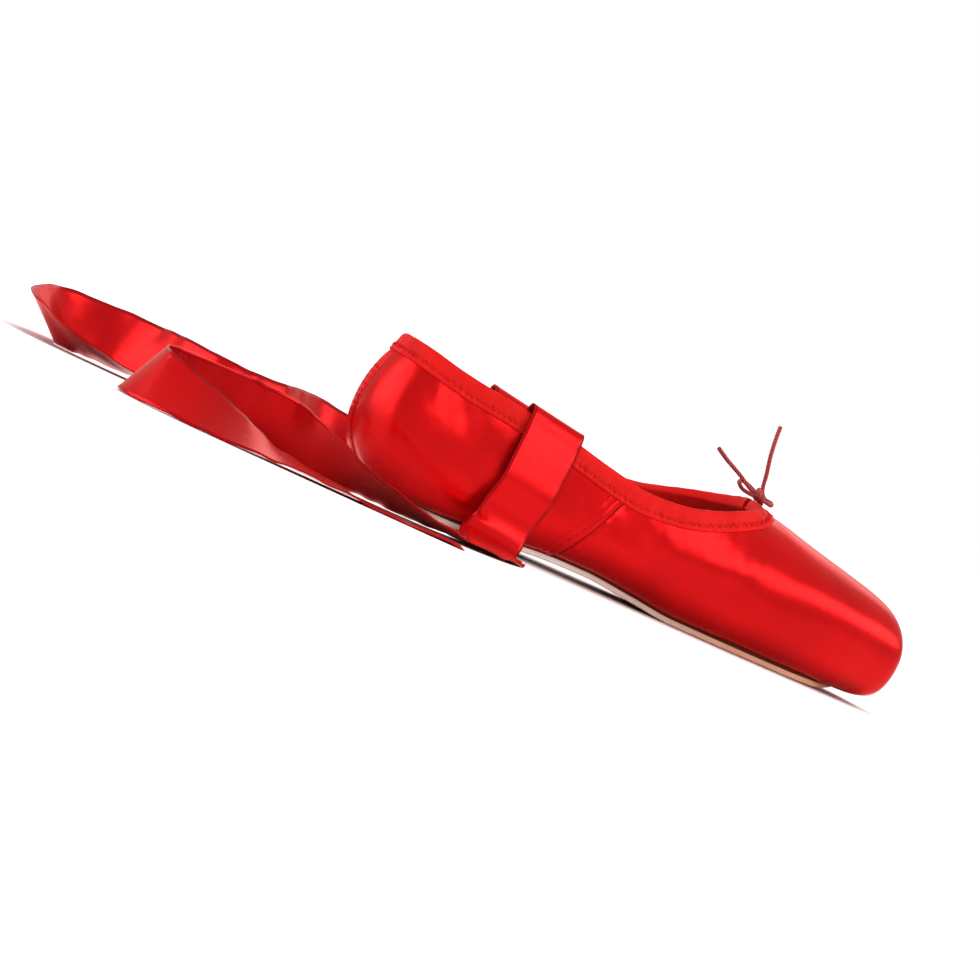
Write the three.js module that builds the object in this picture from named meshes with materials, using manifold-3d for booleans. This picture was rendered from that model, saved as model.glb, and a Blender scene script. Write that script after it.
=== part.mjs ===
// Satin pointe shoe made on a straight last, so it fits either foot.
// Millimetres, +X to the toe, +Y to the far side, +Z up. The origin is on the floor, under the middle of the shoe.
// The shoe stands empty on its leather sole. Its two ankle ribbons come out of the collar and lie on the floor.

import * as THREE from "three";
import { mergeVertices } from "three/addons/utils/BufferGeometryUtils.js";
import Module from "manifold-3d";

const wasm = await Module();
wasm.setup();

// Driving sizes of the last
const SHOE_LENGTH = 230;
const HEEL_WIDTH = 55;
const WAIST_WIDTH = 60;
const BALL_WIDTH = 75;
const PLATFORM_WIDTH = 46;
const HEEL_HEIGHT = 57.5;
const SIDE_HEIGHT = 41;
const THROAT_HEIGHT = 52;
const INSTEP_HEIGHT = 74;
const TOE_HEIGHT = 40;
const VAMP_LENGTH = 75;
const BELLY_HEIGHT = 20;

// Walls, soles and the clearance that neighbours keep
const WALL = 1.6;
const BOX_WALL = 3;
const CLEARANCE = 0.3;
const OUTSOLE_THICKNESS = 2.2;
const INSOLE_THICKNESS = 1.5;
const ARCH_HEIGHT = 3.2;
const TOE_SPRING = 1.5;
const LASTING_MARGIN = 7;

// Outsole outline
const OUTSOLE_HEEL_INSET = 27;
const OUTSOLE_TOE_INSET = 15;
const OUTSOLE_HEEL_WIDTH = 42;
const OUTSOLE_WAIST_WIDTH = 38;
const OUTSOLE_BALL_WIDTH = 56;
const OUTSOLE_TIP_WIDTH = 40;

// Binding, seams, ribbons and drawstring
const BINDING_WIDTH = 8;
const BINDING_THICKNESS = 0.8;
const BINDING_SPLIT = 2.4;
const QUARTER_LAP = 0.5;
const SIDE_SEAM_AT = 0.36;
const SIDE_SEAM_LEAN = 25;
const BACK_SEAM_WIDTH = 3.6;
const RIBBON_WIDTH = 22;
const RIBBON_LENGTH = 450;
const RIBBON_THICKNESS = 0.5;
const RIBBON_SEWN = 18;
const RIBBON_AT = 0.28;
const CORD_DIAMETER = 1.6;

const HEEL_X = -SHOE_LENGTH / 2;
const SOLE_TOP = OUTSOLE_THICKNESS + CLEARANCE;
const THROAT_AT = 1 - VAMP_LENGTH / SHOE_LENGTH;
const BINDING_OUT = CLEARANCE + BINDING_THICKNESS;
const CEILING = 2 * INSTEP_HEIGHT;

// The sections of the last, from the heel's back to the toe's flat platform.
const LAST_COLUMNS = ["at", "half", "flat", "rise", "belly", "crown", "corner", "arch"];
const LAST_ROWS = [
  // share of length, half width, half flat bottom, bottom over the sole, widest height, top, corner power, arch power
  [0.0, 0.0 * HEEL_WIDTH, 0.0 * HEEL_WIDTH, 0.46 * HEEL_HEIGHT, 1.45 * BELLY_HEIGHT, 0.504 * HEEL_HEIGHT, 2, 2],
  [0.0026, 0.109 * HEEL_WIDTH, 0.02 * HEEL_WIDTH, 0.365 * HEEL_HEIGHT, 1.43 * BELLY_HEIGHT, 0.617 * HEEL_HEIGHT, 2, 2],
  [0.0096, 0.205 * HEEL_WIDTH, 0.05 * HEEL_WIDTH, 0.273 * HEEL_HEIGHT, 1.4 * BELLY_HEIGHT, 0.748 * HEEL_HEIGHT, 2, 2],
  [0.0226, 0.305 * HEEL_WIDTH, 0.1 * HEEL_WIDTH, 0.186 * HEEL_HEIGHT, 1.35 * BELLY_HEIGHT, 0.87 * HEEL_HEIGHT, 2, 2],
  [0.0435, 0.393 * HEEL_WIDTH, 0.17 * HEEL_WIDTH, 0.1 * HEEL_HEIGHT, 1.3 * BELLY_HEIGHT, 1.02 * HEEL_HEIGHT, 2.1, 2.05],
  [0.074, 0.455 * HEEL_WIDTH, 0.23 * HEEL_WIDTH, 0.038 * HEEL_HEIGHT, 1.22 * BELLY_HEIGHT, 0.9 * INSTEP_HEIGHT, 2.2, 2.1],
  [0.117, 0.491 * HEEL_WIDTH, 0.29 * HEEL_WIDTH, 0, 1.14 * BELLY_HEIGHT, 0.97 * INSTEP_HEIGHT, 2.3, 2.15],
  [0.183, 0.505 * HEEL_WIDTH, 0.32 * HEEL_WIDTH, 0, 1.08 * BELLY_HEIGHT, 1.0 * INSTEP_HEIGHT, 2.3, 2.2],
  [0.261, 0.474 * WAIST_WIDTH, 0.29 * WAIST_WIDTH, 0.25 * ARCH_HEIGHT, 1.04 * BELLY_HEIGHT, 0.99 * INSTEP_HEIGHT, 2.2, 2.2],
  [0.348, 0.489 * WAIST_WIDTH, 0.26 * WAIST_WIDTH, 0.85 * ARCH_HEIGHT, 1.04 * BELLY_HEIGHT, 0.96 * INSTEP_HEIGHT, 2.1, 2.2],
  [0.435, 0.514 * WAIST_WIDTH, 0.26 * WAIST_WIDTH, 1.0 * ARCH_HEIGHT, 1.04 * BELLY_HEIGHT, 0.91 * INSTEP_HEIGHT, 2.1, 2.2],
  [0.522, 0.445 * BALL_WIDTH, 0.24 * BALL_WIDTH, 0.5 * ARCH_HEIGHT, 1.0 * BELLY_HEIGHT, 1.205 * THROAT_HEIGHT, 2.1, 2.2],
  [0.6, 0.479 * BALL_WIDTH, 0.28 * BALL_WIDTH, 0, 0.97 * BELLY_HEIGHT, 1.1 * THROAT_HEIGHT, 2.1, 2.2],
  [0.67, 0.498 * BALL_WIDTH, 0.3 * BALL_WIDTH, 0, 0.95 * BELLY_HEIGHT, 1.025 * THROAT_HEIGHT, 2.2, 2.25],
  [0.739, 0.495 * BALL_WIDTH, 0.3 * BALL_WIDTH, 0, 0.94 * BELLY_HEIGHT, 0.975 * THROAT_HEIGHT, 2.2, 2.3],
  [0.809, 0.47 * BALL_WIDTH, 0.27 * BALL_WIDTH, 0, 0.96 * BELLY_HEIGHT, 1.18 * TOE_HEIGHT, 2.2, 2.35],
  [0.878, 0.425 * BALL_WIDTH, 0.23 * BALL_WIDTH, 0.25 * TOE_SPRING, 0.97 * BELLY_HEIGHT, 1.1 * TOE_HEIGHT, 2.2, 2.45],
  [0.93, 0.61 * PLATFORM_WIDTH, 0.31 * PLATFORM_WIDTH, 0.6 * TOE_SPRING, 1.0 * BELLY_HEIGHT, 1.035 * TOE_HEIGHT, 2.2, 2.5],
  [0.965, 0.556 * PLATFORM_WIDTH, 0.27 * PLATFORM_WIDTH, 1.0 * TOE_SPRING, 1.02 * BELLY_HEIGHT, 0.965 * TOE_HEIGHT, 2.2, 2.5],
  [0.985, 0.51 * PLATFORM_WIDTH, 0.25 * PLATFORM_WIDTH, 0.085 * TOE_HEIGHT, 1.03 * BELLY_HEIGHT, 0.875 * TOE_HEIGHT, 2.2, 2.5],
  [0.9955, 0.45 * PLATFORM_WIDTH, 0.22 * PLATFORM_WIDTH, 0.165 * TOE_HEIGHT, 1.03 * BELLY_HEIGHT, 0.765 * TOE_HEIGHT, 2.2, 2.4],
  [0.9985, 0.38 * PLATFORM_WIDTH, 0.18 * PLATFORM_WIDTH, 0.235 * TOE_HEIGHT, 1.01 * BELLY_HEIGHT, 0.67 * TOE_HEIGHT, 2.2, 2.3],
  [0.9996, 0.2 * PLATFORM_WIDTH, 0.09 * PLATFORM_WIDTH, 0.32 * TOE_HEIGHT, 0.98 * BELLY_HEIGHT, 0.575 * TOE_HEIGHT, 2.1, 2.1],
  [1.0, 0.0 * PLATFORM_WIDTH, 0.0 * PLATFORM_WIDTH, 0.4125 * TOE_HEIGHT, 0.95 * BELLY_HEIGHT, 0.475 * TOE_HEIGHT, 2, 2],
];

// The collar's edge in side view: share of length and height.
const COLLAR_ROWS = [
  [-0.03, 1.03 * HEEL_HEIGHT],
  [0.04, 0.985 * HEEL_HEIGHT],
  [0.11, 0.925 * HEEL_HEIGHT],
  [0.2, 1.23 * SIDE_HEIGHT],
  [0.3, 1.16 * SIDE_HEIGHT],
  [0.39, 1.06 * SIDE_HEIGHT],
  [0.47, 1.0 * SIDE_HEIGHT],
  [THROAT_AT - 0.14, 1.03 * SIDE_HEIGHT],
  [THROAT_AT - 0.09, 0.87 * THROAT_HEIGHT],
  [THROAT_AT - 0.045, 0.935 * THROAT_HEIGHT],
  [THROAT_AT - 0.012, 0.985 * THROAT_HEIGHT],
  [THROAT_AT + 0.002, 1.06 * THROAT_HEIGHT],
  [THROAT_AT + 0.005, 1.25 * THROAT_HEIGHT],
];

// The outsole's outline: share of its own length and half width. Its ends are rounded apart from this.
const OUTSOLE_ROWS = [
  [0.0, 0.5 * OUTSOLE_HEEL_WIDTH],
  [0.12, 0.5 * OUTSOLE_HEEL_WIDTH],
  [0.24, 0.47 * OUTSOLE_HEEL_WIDTH],
  [0.38, 0.5 * OUTSOLE_WAIST_WIDTH],
  [0.5, 0.58 * OUTSOLE_WAIST_WIDTH],
  [0.62, 0.46 * OUTSOLE_BALL_WIDTH],
  [0.72, 0.5 * OUTSOLE_BALL_WIDTH],
  [0.84, 0.46 * OUTSOLE_BALL_WIDTH],
  [1.0, 0.5 * OUTSOLE_TIP_WIDTH],
];

const colours = {
  satin: [0xc80d12, 0.34],
  binding: [0xd6170f, 0.55],
  sole: [0xd0ac90, 0.8],
  lining: [0xe8dcc8, 0.85],
  ribbon: [0xcc1015, 0.32],
  cord: [0xb3141b, 0.6],
};

// A smooth curve through rows of numbers, met at the given knots, that never swings past its neighbours.
function curveThrough(knots, rows) {
  const slopes = rows.map((row, i) => {
    const a = Math.max(i - 1, 0);
    const b = Math.min(i + 1, rows.length - 1);
    return row.map((value, k) => {
      const mean = (rows[b][k] - rows[a][k]) / (knots[b] - knots[a]);
      if (a === i || b === i) return mean;
      const before = (value - rows[a][k]) / (knots[i] - knots[a]);
      const after = (rows[b][k] - value) / (knots[b] - knots[i]);
      if (before * after <= 0) return 0;
      return Math.sign(mean) * Math.min(Math.abs(mean), 3 * Math.abs(before), 3 * Math.abs(after));
    });
  });
  return (at) => {
    let i = 0;
    while (i < knots.length - 2 && at > knots[i + 1]) i++;
    const span = knots[i + 1] - knots[i];
    const t = THREE.MathUtils.clamp((at - knots[i]) / span, 0, 1);
    const h = [2 * t ** 3 - 3 * t ** 2 + 1, t ** 3 - 2 * t ** 2 + t, 3 * t ** 2 - 2 * t ** 3, t ** 3 - t ** 2];
    return rows[i].map(
      (start, k) =>
        h[0] * start + h[1] * span * slopes[i][k] + h[2] * rows[i + 1][k] + h[3] * span * slopes[i + 1][k],
    );
  };
}

// How far the last travels from row to row, so that its rounded ends are followed as evenly as its long sides.
function travelled(rows) {
  const knots = [0];
  rows.slice(1).forEach((row, i) => {
    const step = [SHOE_LENGTH * (row[0] - rows[i][0]), row[1] - rows[i][1], row[5] - rows[i][5]];
    knots.push(knots[i] + Math.hypot(...step));
  });
  return knots;
}

const lastKnots = travelled(LAST_ROWS);
const lastCurve = curveThrough(lastKnots, LAST_ROWS);
const collarCurve = curveThrough(
  COLLAR_ROWS.map((row) => row[0]),
  COLLAR_ROWS,
);
const outsoleCurve = curveThrough(
  OUTSOLE_ROWS.map((row) => row[0]),
  OUTSOLE_ROWS,
);

function sectionAt(travel) {
  const values = lastCurve(travel);
  return Object.fromEntries(LAST_COLUMNS.map((name, i) => [name, values[i]]));
}

// The section at a share of the length, found by halving.
function sectionAtShare(share) {
  let [low, high] = [0, lastKnots.at(-1)];
  for (let i = 0; i < 40; i++) {
    const middle = (low + high) / 2;
    if (sectionAt(middle).at < share) low = middle;
    else high = middle;
  }
  return sectionAt((low + high) / 2);
}

// Half a section, from the middle of the bottom round to the middle of the top, as [y, z].
const FLAT_STEPS = 2;
const CORNER_STEPS = 5;
const ARCH_STEPS = 8;
function halfSection(s) {
  const bottom = SOLE_TOP + s.rise;
  const points = [];
  for (let i = 0; i < FLAT_STEPS; i++) points.push([(s.flat * i) / FLAT_STEPS, bottom]);
  for (let i = 0; i < CORNER_STEPS; i++) {
    const a = ((i / CORNER_STEPS) * Math.PI) / 2;
    points.push([
      s.flat + (s.half - s.flat) * Math.sin(a) ** (2 / s.corner),
      s.belly - (s.belly - bottom) * Math.cos(a) ** (2 / s.corner),
    ]);
  }
  for (let i = 0; i <= ARCH_STEPS; i++) {
    const a = ((i / ARCH_STEPS) * Math.PI) / 2;
    const across = i === ARCH_STEPS ? 0 : s.half * Math.cos(a) ** (2 / s.arch);
    points.push([across, s.belly + (s.crown - s.belly) * Math.sin(a) ** (2 / s.arch)]);
  }
  return points;
}

// How far the last reaches sideways at a share of the length and a height.
function sideAt(share, height) {
  const s = sectionAtShare(share);
  if (height >= s.belly) {
    return s.half * (1 - Math.min(1, (height - s.belly) / (s.crown - s.belly)) ** s.arch) ** (1 / s.arch);
  }
  const drop = Math.min(1, (s.belly - height) / (s.belly - SOLE_TOP - s.rise));
  return s.flat + (s.half - s.flat) * (1 - drop ** s.corner) ** (1 / s.corner);
}

// The closed surface of the last as an indexed geometry, with its outward normals.
const LONGEST_STEP = 10.5;
function lastSurface() {
  const travels = [];
  lastKnots.slice(1).forEach((knot, i) => {
    const steps = Math.max(1, Math.round((knot - lastKnots[i]) / LONGEST_STEP));
    for (let k = 0; k < steps; k++) travels.push(lastKnots[i] + ((knot - lastKnots[i]) * k) / steps);
  });
  const rings = travels.slice(1).map((travel) => {
    const s = sectionAt(travel);
    const half = halfSection(s);
    const back = half.slice(1, -1).reverse();
    return [...half, ...back.map(([y, z]) => [-y, z])].map(([y, z]) => [HEEL_X + SHOE_LENGTH * s.at, y, z]);
  });
  const around = rings[0].length;
  const heel = [HEEL_X, 0, LAST_ROWS[0][4]];
  const toe = [HEEL_X + SHOE_LENGTH, 0, LAST_ROWS.at(-1)[4]];
  const points = [heel, ...rings.flat(), toe];
  const faces = [];
  for (let j = 0; j < around; j++) {
    const next = (j + 1) % around;
    faces.push(0, 1 + next, 1 + j);
    for (let i = 0; i < rings.length - 1; i++) {
      const [a, b] = [1 + i * around + j, 1 + i * around + next];
      faces.push(a, b, b + around, a, b + around, a + around);
    }
    const rim = 1 + (rings.length - 1) * around;
    faces.push(rim + j, rim + next, points.length - 1);
  }
  const geometry = new THREE.BufferGeometry();
  geometry.setAttribute("position", new THREE.Float32BufferAttribute(points.flat(), 3));
  geometry.setIndex(faces);
  geometry.computeVertexNormals();
  return geometry;
}

const last = lastSurface();

// Turns a closed three.js geometry into a solid that can be cut and joined.
function solidOf(geometry) {
  const bare = geometry.clone();
  for (const name of Object.keys(bare.attributes)) if (name !== "position") bare.deleteAttribute(name);
  const merged = mergeVertices(bare, 1e-4);
  return new wasm.Manifold(
    new wasm.Mesh({
      numProp: 3,
      vertProperties: new Float32Array(merged.attributes.position.array),
      triVerts: new Uint32Array(merged.index.array),
    }),
  );
}

// The last grown outwards everywhere by a distance that may follow the share of length.
function grownLast(distanceAt) {
  const grown = last.clone();
  const place = grown.attributes.position;
  const normal = grown.attributes.normal;
  for (let i = 0; i < place.count; i++) {
    const distance = distanceAt((place.getX(i) - HEEL_X) / SHOE_LENGTH);
    place.setXYZ(
      i,
      place.getX(i) + distance * normal.getX(i),
      place.getY(i) + distance * normal.getY(i),
      place.getZ(i) + distance * normal.getZ(i),
    );
  }
  return solidOf(grown);
}

// The wall grows from the quarters' cloth to the stiffened box at the toe.
function wallAt(share) {
  return WALL + (BOX_WALL - WALL) * THREE.MathUtils.smoothstep(share, THROAT_AT - 0.1, THROAT_AT + 0.08);
}

// A solid that runs right across the shoe, from an outline in side view given as [x, z].
function acrossShoe(outline, halfWidth = BALL_WIDTH) {
  const shape = new THREE.Shape(outline.map(([x, z]) => new THREE.Vector2(x, z)));
  const geometry = new THREE.ExtrudeGeometry(shape, { depth: 2 * halfWidth, bevelEnabled: false });
  geometry.rotateX(Math.PI / 2);
  geometry.translate(0, halfWidth, 0);
  return solidOf(geometry);
}

// An upright prism from an outline in plan, given as [x, y].
function upright(outline, low, high) {
  const shape = new THREE.Shape(outline.map(([x, y]) => new THREE.Vector2(x, y)));
  const geometry = new THREE.ExtrudeGeometry(shape, { depth: high - low, bevelEnabled: false });
  geometry.translate(0, 0, low);
  return solidOf(geometry);
}

// Everything above the line that runs a distance below the collar's edge, measured square to the edge.
const COLLAR_STEPS = 44;
function aboveCollar(distance) {
  const [first, end] = [COLLAR_ROWS[0][0], COLLAR_ROWS.at(-1)[0]];
  const edge = [];
  for (let i = 0; i <= COLLAR_STEPS; i++) {
    const [, height] = collarCurve(first + ((end - first) * i) / COLLAR_STEPS);
    edge.push([HEEL_X + SHOE_LENGTH * (first + ((end - first) * i) / COLLAR_STEPS), height]);
  }
  const lowered = edge.map(([x, z], i) => {
    const before = edge[Math.max(i - 1, 0)];
    const after = edge[Math.min(i + 1, edge.length - 1)];
    const along = [after[0] - before[0], after[1] - before[1]];
    const long = Math.hypot(...along);
    return [x + (distance * along[1]) / long, z - (distance * along[0]) / long];
  });
  return acrossShoe([...lowered, [lowered.at(-1)[0], CEILING], [lowered[0][0], CEILING]]);
}

// The outsole's outline in plan, taken in by a distance all round.
const OUTLINE_STEPS = 20;
function outsoleOutline(inset) {
  const back = HEEL_X + OUTSOLE_HEEL_INSET + inset;
  const front = HEEL_X + SHOE_LENGTH - OUTSOLE_TOE_INSET - inset;
  const side = [];
  for (let i = 0; i <= OUTLINE_STEPS; i++) {
    const share = (1 - Math.cos((Math.PI * i) / OUTLINE_STEPS)) / 2;
    const [, half] = outsoleCurve(share);
    const reach = half - inset;
    const fromEnd = Math.min(share * (front - back), (1 - share) * (front - back));
    const round = Math.sqrt(Math.max(0, 1 - Math.max(0, 1 - fromEnd / (1.05 * reach)) ** 2));
    side.push([back + share * (front - back), reach * round]);
  }
  return [...side.map(([x, y]) => [x, -y]), ...side.slice(1, -1).reverse()];
}

// How far the last's bottom is lifted off the sole's level by the arch and the toe spring.
function soleLift(share) {
  return sectionAtShare(THREE.MathUtils.clamp(share, LAST_ROWS[6][0], LAST_ROWS[18][0])).rise;
}

// A sheet across the whole shoe between two heights over the sole's underside, each a function of the share.
const SHEET_STEPS = 30;
function soleSheet(lowAt, highAt) {
  const lower = [];
  const upper = [];
  for (let i = 0; i <= SHEET_STEPS; i++) {
    const share = LAST_ROWS[6][0] - 0.14 + (1.06 * i) / SHEET_STEPS;
    lower.push([HEEL_X + SHOE_LENGTH * share, soleLift(share) + lowAt(share)]);
    upper.unshift([HEEL_X + SHOE_LENGTH * share, soleLift(share) + highAt(share)]);
  }
  return acrossShoe([...lower, ...upper]);
}

// The outer form grown by a distance: the vamp, the quarters that lap over it and the back seam's rib.
function outerForm(distance) {
  const seamX = HEEL_X + SHOE_LENGTH * SIDE_SEAM_AT + distance;
  const lean = Math.tan(THREE.MathUtils.degToRad(SIDE_SEAM_LEAN));
  const behindSeam = acrossShoe([
    [HEEL_X - SHOE_LENGTH, 0],
    [seamX, 0],
    [seamX + CEILING * lean, CEILING],
    [HEEL_X - SHOE_LENGTH, CEILING],
  ]);
  const backSeam = acrossShoe(
    [
      [HEEL_X - SHOE_LENGTH, 0],
      [HEEL_X + OUTSOLE_HEEL_INSET, 0],
      [HEEL_X + OUTSOLE_HEEL_INSET, CEILING],
      [HEEL_X - SHOE_LENGTH, CEILING],
    ],
    BACK_SEAM_WIDTH / 2 + distance,
  );
  const underfoot = soleSheet(
    () => -SOLE_TOP - ARCH_HEIGHT,
    () => SOLE_TOP,
  );
  const lap = grownLast(() => QUARTER_LAP + distance).intersect(behindSeam);
  const rib = grownLast(() => 2 * QUARTER_LAP + distance).intersect(backSeam);
  return grownLast(() => distance).add(lap.add(rib).subtract(underfoot));
}

function upper() {
  const inside = grownLast((share) => -wallAt(share));
  const lastingHole = upright(outsoleOutline(LASTING_MARGIN), -1, SOLE_TOP + ARCH_HEIGHT + 2 * WALL);
  return outerForm(0).subtract(inside).subtract(lastingHole).subtract(aboveCollar(BINDING_OUT));
}

// The folded tape that covers the collar's edge inside and out, split at the throat where the drawstring leaves.
function binding() {
  const inside = grownLast((share) => -wallAt(share) - BINDING_OUT);
  const grooveInside = grownLast((share) => -wallAt(share) - CLEARANCE);
  const groove = outerForm(CLEARANCE).subtract(grooveInside).subtract(aboveCollar(BINDING_THICKNESS));
  const tape = outerForm(BINDING_OUT).subtract(inside).intersect(aboveCollar(BINDING_WIDTH)).subtract(aboveCollar(0));
  const throatX = HEEL_X + SHOE_LENGTH * THROAT_AT;
  const split = acrossShoe(
    [
      [throatX - BINDING_WIDTH, 0],
      [throatX + 2 * BINDING_WIDTH, 0],
      [throatX + 2 * BINDING_WIDTH, CEILING],
      [throatX - BINDING_WIDTH, CEILING],
    ],
    BINDING_SPLIT / 2,
  );
  return tape.subtract(groove).subtract(split);
}

function outsole() {
  const blank = upright(outsoleOutline(0), -1, 2 * SOLE_TOP + TOE_SPRING + ARCH_HEIGHT);
  return blank.intersect(
    soleSheet(
      () => 0,
      () => OUTSOLE_THICKNESS,
    ),
  );
}

// The sock lies on the turned-in edge of the upper and fills the lasting hole down to the outsole.
function insole() {
  const topAt = (share) => SOLE_TOP + wallAt(share) + CLEARANCE + INSOLE_THICKNESS;
  const bed = grownLast((share) => -wallAt(share) - CLEARANCE).intersect(soleSheet(() => 0, topAt));
  const plug = upright(outsoleOutline(LASTING_MARGIN + CLEARANCE), 0, CEILING).intersect(
    soleSheet(() => SOLE_TOP, topAt),
  );
  return bed.add(plug);
}

// Where each ribbon runs on the floor after it has left the quarter: x, distance from the middle, how far it is
// tipped up on its edge in degrees, and how high its lower edge is lifted.
const NEAR_RIBBON_ROWS = [
  [-62, 42, 0, 1.2],
  [-64, 58, 0, 0],
  [-69, 76, 0, 0],
  [-80, 93, 2, 0],
  [-97, 105, 6, 0],
  [-116, 108, 14, 0],
  [-134, 102, 32, 0],
  [-147, 88, 56, 0],
  [-155, 70, 70, 0],
  [-168, 58, 72, 0],
  [-184, 57, 70, 0],
  [-200, 63, 70, 0],
  [-212, 76, 66, 0],
  [-214, 93, 58, 0],
  [-203, 107, 44, 0],
  [-186, 115, 26, 0],
  [-168, 120, 8, 0.8],
  [-150, 126, 0, 1.4],
  [-134, 131, 0, 0],
  [-118, 135, 0, 0],
  [-102, 138, 0, 0],
];
const FAR_RIBBON_ROWS = [
  [-61, 42, 0, 1.2],
  [-63, 54, 0, 0],
  [-70, 68, 25, 0],
  [-84, 78, 52, 0],
  [-101, 76, 68, 0],
  [-114, 62, 74, 0],
  [-126, 46, 70, 0],
  [-142, 38, 66, 0],
  [-158, 42, 70, 0],
  [-168, 58, 74, 0],
  [-176, 76, 70, 0],
  [-190, 88, 66, 0],
  [-206, 86, 60, 0],
  [-216, 70, 50, 0],
  [-221, 52, 40, 0],
  [-214, 36, 25, 0],
  [-198, 26, 10, 1],
  [-182, 20, 2, 2],
  [-166, 16, 0, 0.3],
  [-152, 10, 0, 0],
  [-140, 2, 0, 0],
];

// A flat strip as a closed solid, from its middle line and the direction across it.
const STRIP_STEP = 6.5;
const BEND_STEP = 2;
const BEND_ZONE = 46;
function strip(stations, width, thickness, length) {
  const middle = new THREE.CatmullRomCurve3(stations.map((station) => station.middle));
  const across = new THREE.CatmullRomCurve3(stations.map((station) => station.across));
  middle.arcLengthDivisions = 800;
  const rings = [];
  const marks = [0];
  while (marks.at(-1) < length) marks.push(marks.at(-1) + (marks.at(-1) < BEND_ZONE ? BEND_STEP : STRIP_STEP));
  for (const mark of marks) {
    const t = middle.getUtoTmapping(Math.min(1, length / middle.getLength()) * (mark / marks.at(-1)));
    const centre = middle.getPoint(t);
    const heading = middle.getTangent(t);
    const side = across.getPoint(t);
    side.addScaledVector(heading, -side.dot(heading)).normalize();
    const face = new THREE.Vector3().crossVectors(heading, side).multiplyScalar(thickness / 2);
    side.multiplyScalar(width / 2);
    rings.push([
      centre.clone().sub(side).sub(face),
      centre.clone().add(side).sub(face),
      centre.clone().add(side).add(face),
      centre.clone().sub(side).add(face),
    ]);
  }
  const faces = [0, 2, 1, 0, 3, 2];
  for (let i = 0; i < rings.length - 1; i++) {
    for (let j = 0; j < 4; j++) {
      const [a, b] = [4 * i + j, 4 * i + ((j + 1) % 4)];
      faces.push(a, b, b + 4, a, b + 4, a + 4);
    }
  }
  const end = 4 * (rings.length - 1);
  faces.push(end, end + 1, end + 2, end, end + 2, end + 3);
  const geometry = new THREE.BufferGeometry();
  const points = rings.flat().flatMap((point) => point.toArray());
  geometry.setAttribute("position", new THREE.Float32BufferAttribute(points, 3));
  geometry.setIndex(faces);
  return solidOf(geometry);
}

// One ankle ribbon: sewn inside the quarter, over the collar, down the outside and away over the floor.
function ribbon(side, floorRows) {
  const x = HEEL_X + SHOE_LENGTH * RIBBON_AT;
  const [, top] = collarCurve(RIBBON_AT);
  const room = 4 * CLEARANCE + RIBBON_THICKNESS / 2;
  const inward = WALL + BINDING_OUT + room;
  const outward = QUARTER_LAP + BINDING_OUT + room;
  const stations = [];
  const place = (px, py, pz, across) =>
    stations.push({ middle: new THREE.Vector3(px, side * py, pz), across: new THREE.Vector3(...across) });
  const reach = RIBBON_WIDTH / SHOE_LENGTH / 2;
  const flare = (sideAt(RIBBON_AT + reach, top) - sideAt(RIBBON_AT - reach, top)) / RIBBON_WIDTH;
  const fall = (collarCurve(RIBBON_AT + reach)[1] - collarCurve(RIBBON_AT - reach)[1]) / RIBBON_WIDTH;
  const hung = [1, side * flare, fall];
  for (const down of [RIBBON_SEWN + 1, RIBBON_SEWN / 2, 3]) {
    place(x, sideAt(RIBBON_AT, top - down) - inward, top - down, hung);
  }
  const middle = sideAt(RIBBON_AT, top) + (outward - inward) / 2;
  for (const turn of [165, 125, 90, 55, 15]) {
    const a = THREE.MathUtils.degToRad(turn);
    place(x, middle + ((inward + outward) / 2 + CLEARANCE) * Math.cos(a), top + 12 * CLEARANCE * Math.sin(a), hung);
  }
  for (const down of [3.5, 9, 16, 24]) {
    place(x - 0.12 * down, sideAt(RIBBON_AT, top - down) + outward + 0.1 * room * down, top - down, hung);
  }
  place(x - 5, sideAt(RIBBON_AT, BELLY_HEIGHT) + outward + 2.2, 14, [1, 0, -0.1]);
  place(x - 7, sideAt(RIBBON_AT, BELLY_HEIGHT) + outward + 4.2, 6, [1, 0, -0.05]);
  const floor = floorRows.map((row) => new THREE.Vector2(row[0], row[1]));
  floorRows.forEach(([px, py, tip, lift], i) => {
    const before = floor[Math.max(i - 1, 0)];
    const after = floor[Math.min(i + 1, floor.length - 1)];
    const heading = after.clone().sub(before).normalize();
    const tipped = THREE.MathUtils.degToRad(tip);
    const flat = Math.cos(tipped);
    const height = (RIBBON_WIDTH / 2) * Math.sin(tipped) + RIBBON_THICKNESS * 0.9 + lift;
    place(px, py, height, [heading.y * flat, -side * heading.x * flat, Math.sin(tipped)]);
  });
  return strip(stations, RIBBON_WIDTH, RIBBON_THICKNESS, RIBBON_LENGTH);
}

// A round cord through hand-placed points.
const CORD_SIDES = 8;
function cord(points, steps, diameter = CORD_DIAMETER) {
  const path = new THREE.CatmullRomCurve3(points.map((point) => new THREE.Vector3(...point)));
  const ring = [];
  for (let i = 0; i < CORD_SIDES; i++) {
    const a = (2 * Math.PI * i) / CORD_SIDES;
    ring.push(new THREE.Vector2((diameter / 2) * Math.cos(a), (diameter / 2) * Math.sin(a)));
  }
  const shape = new THREE.Shape(ring);
  return solidOf(new THREE.ExtrudeGeometry(shape, { steps, bevelEnabled: false, extrudePath: path }));
}

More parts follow.
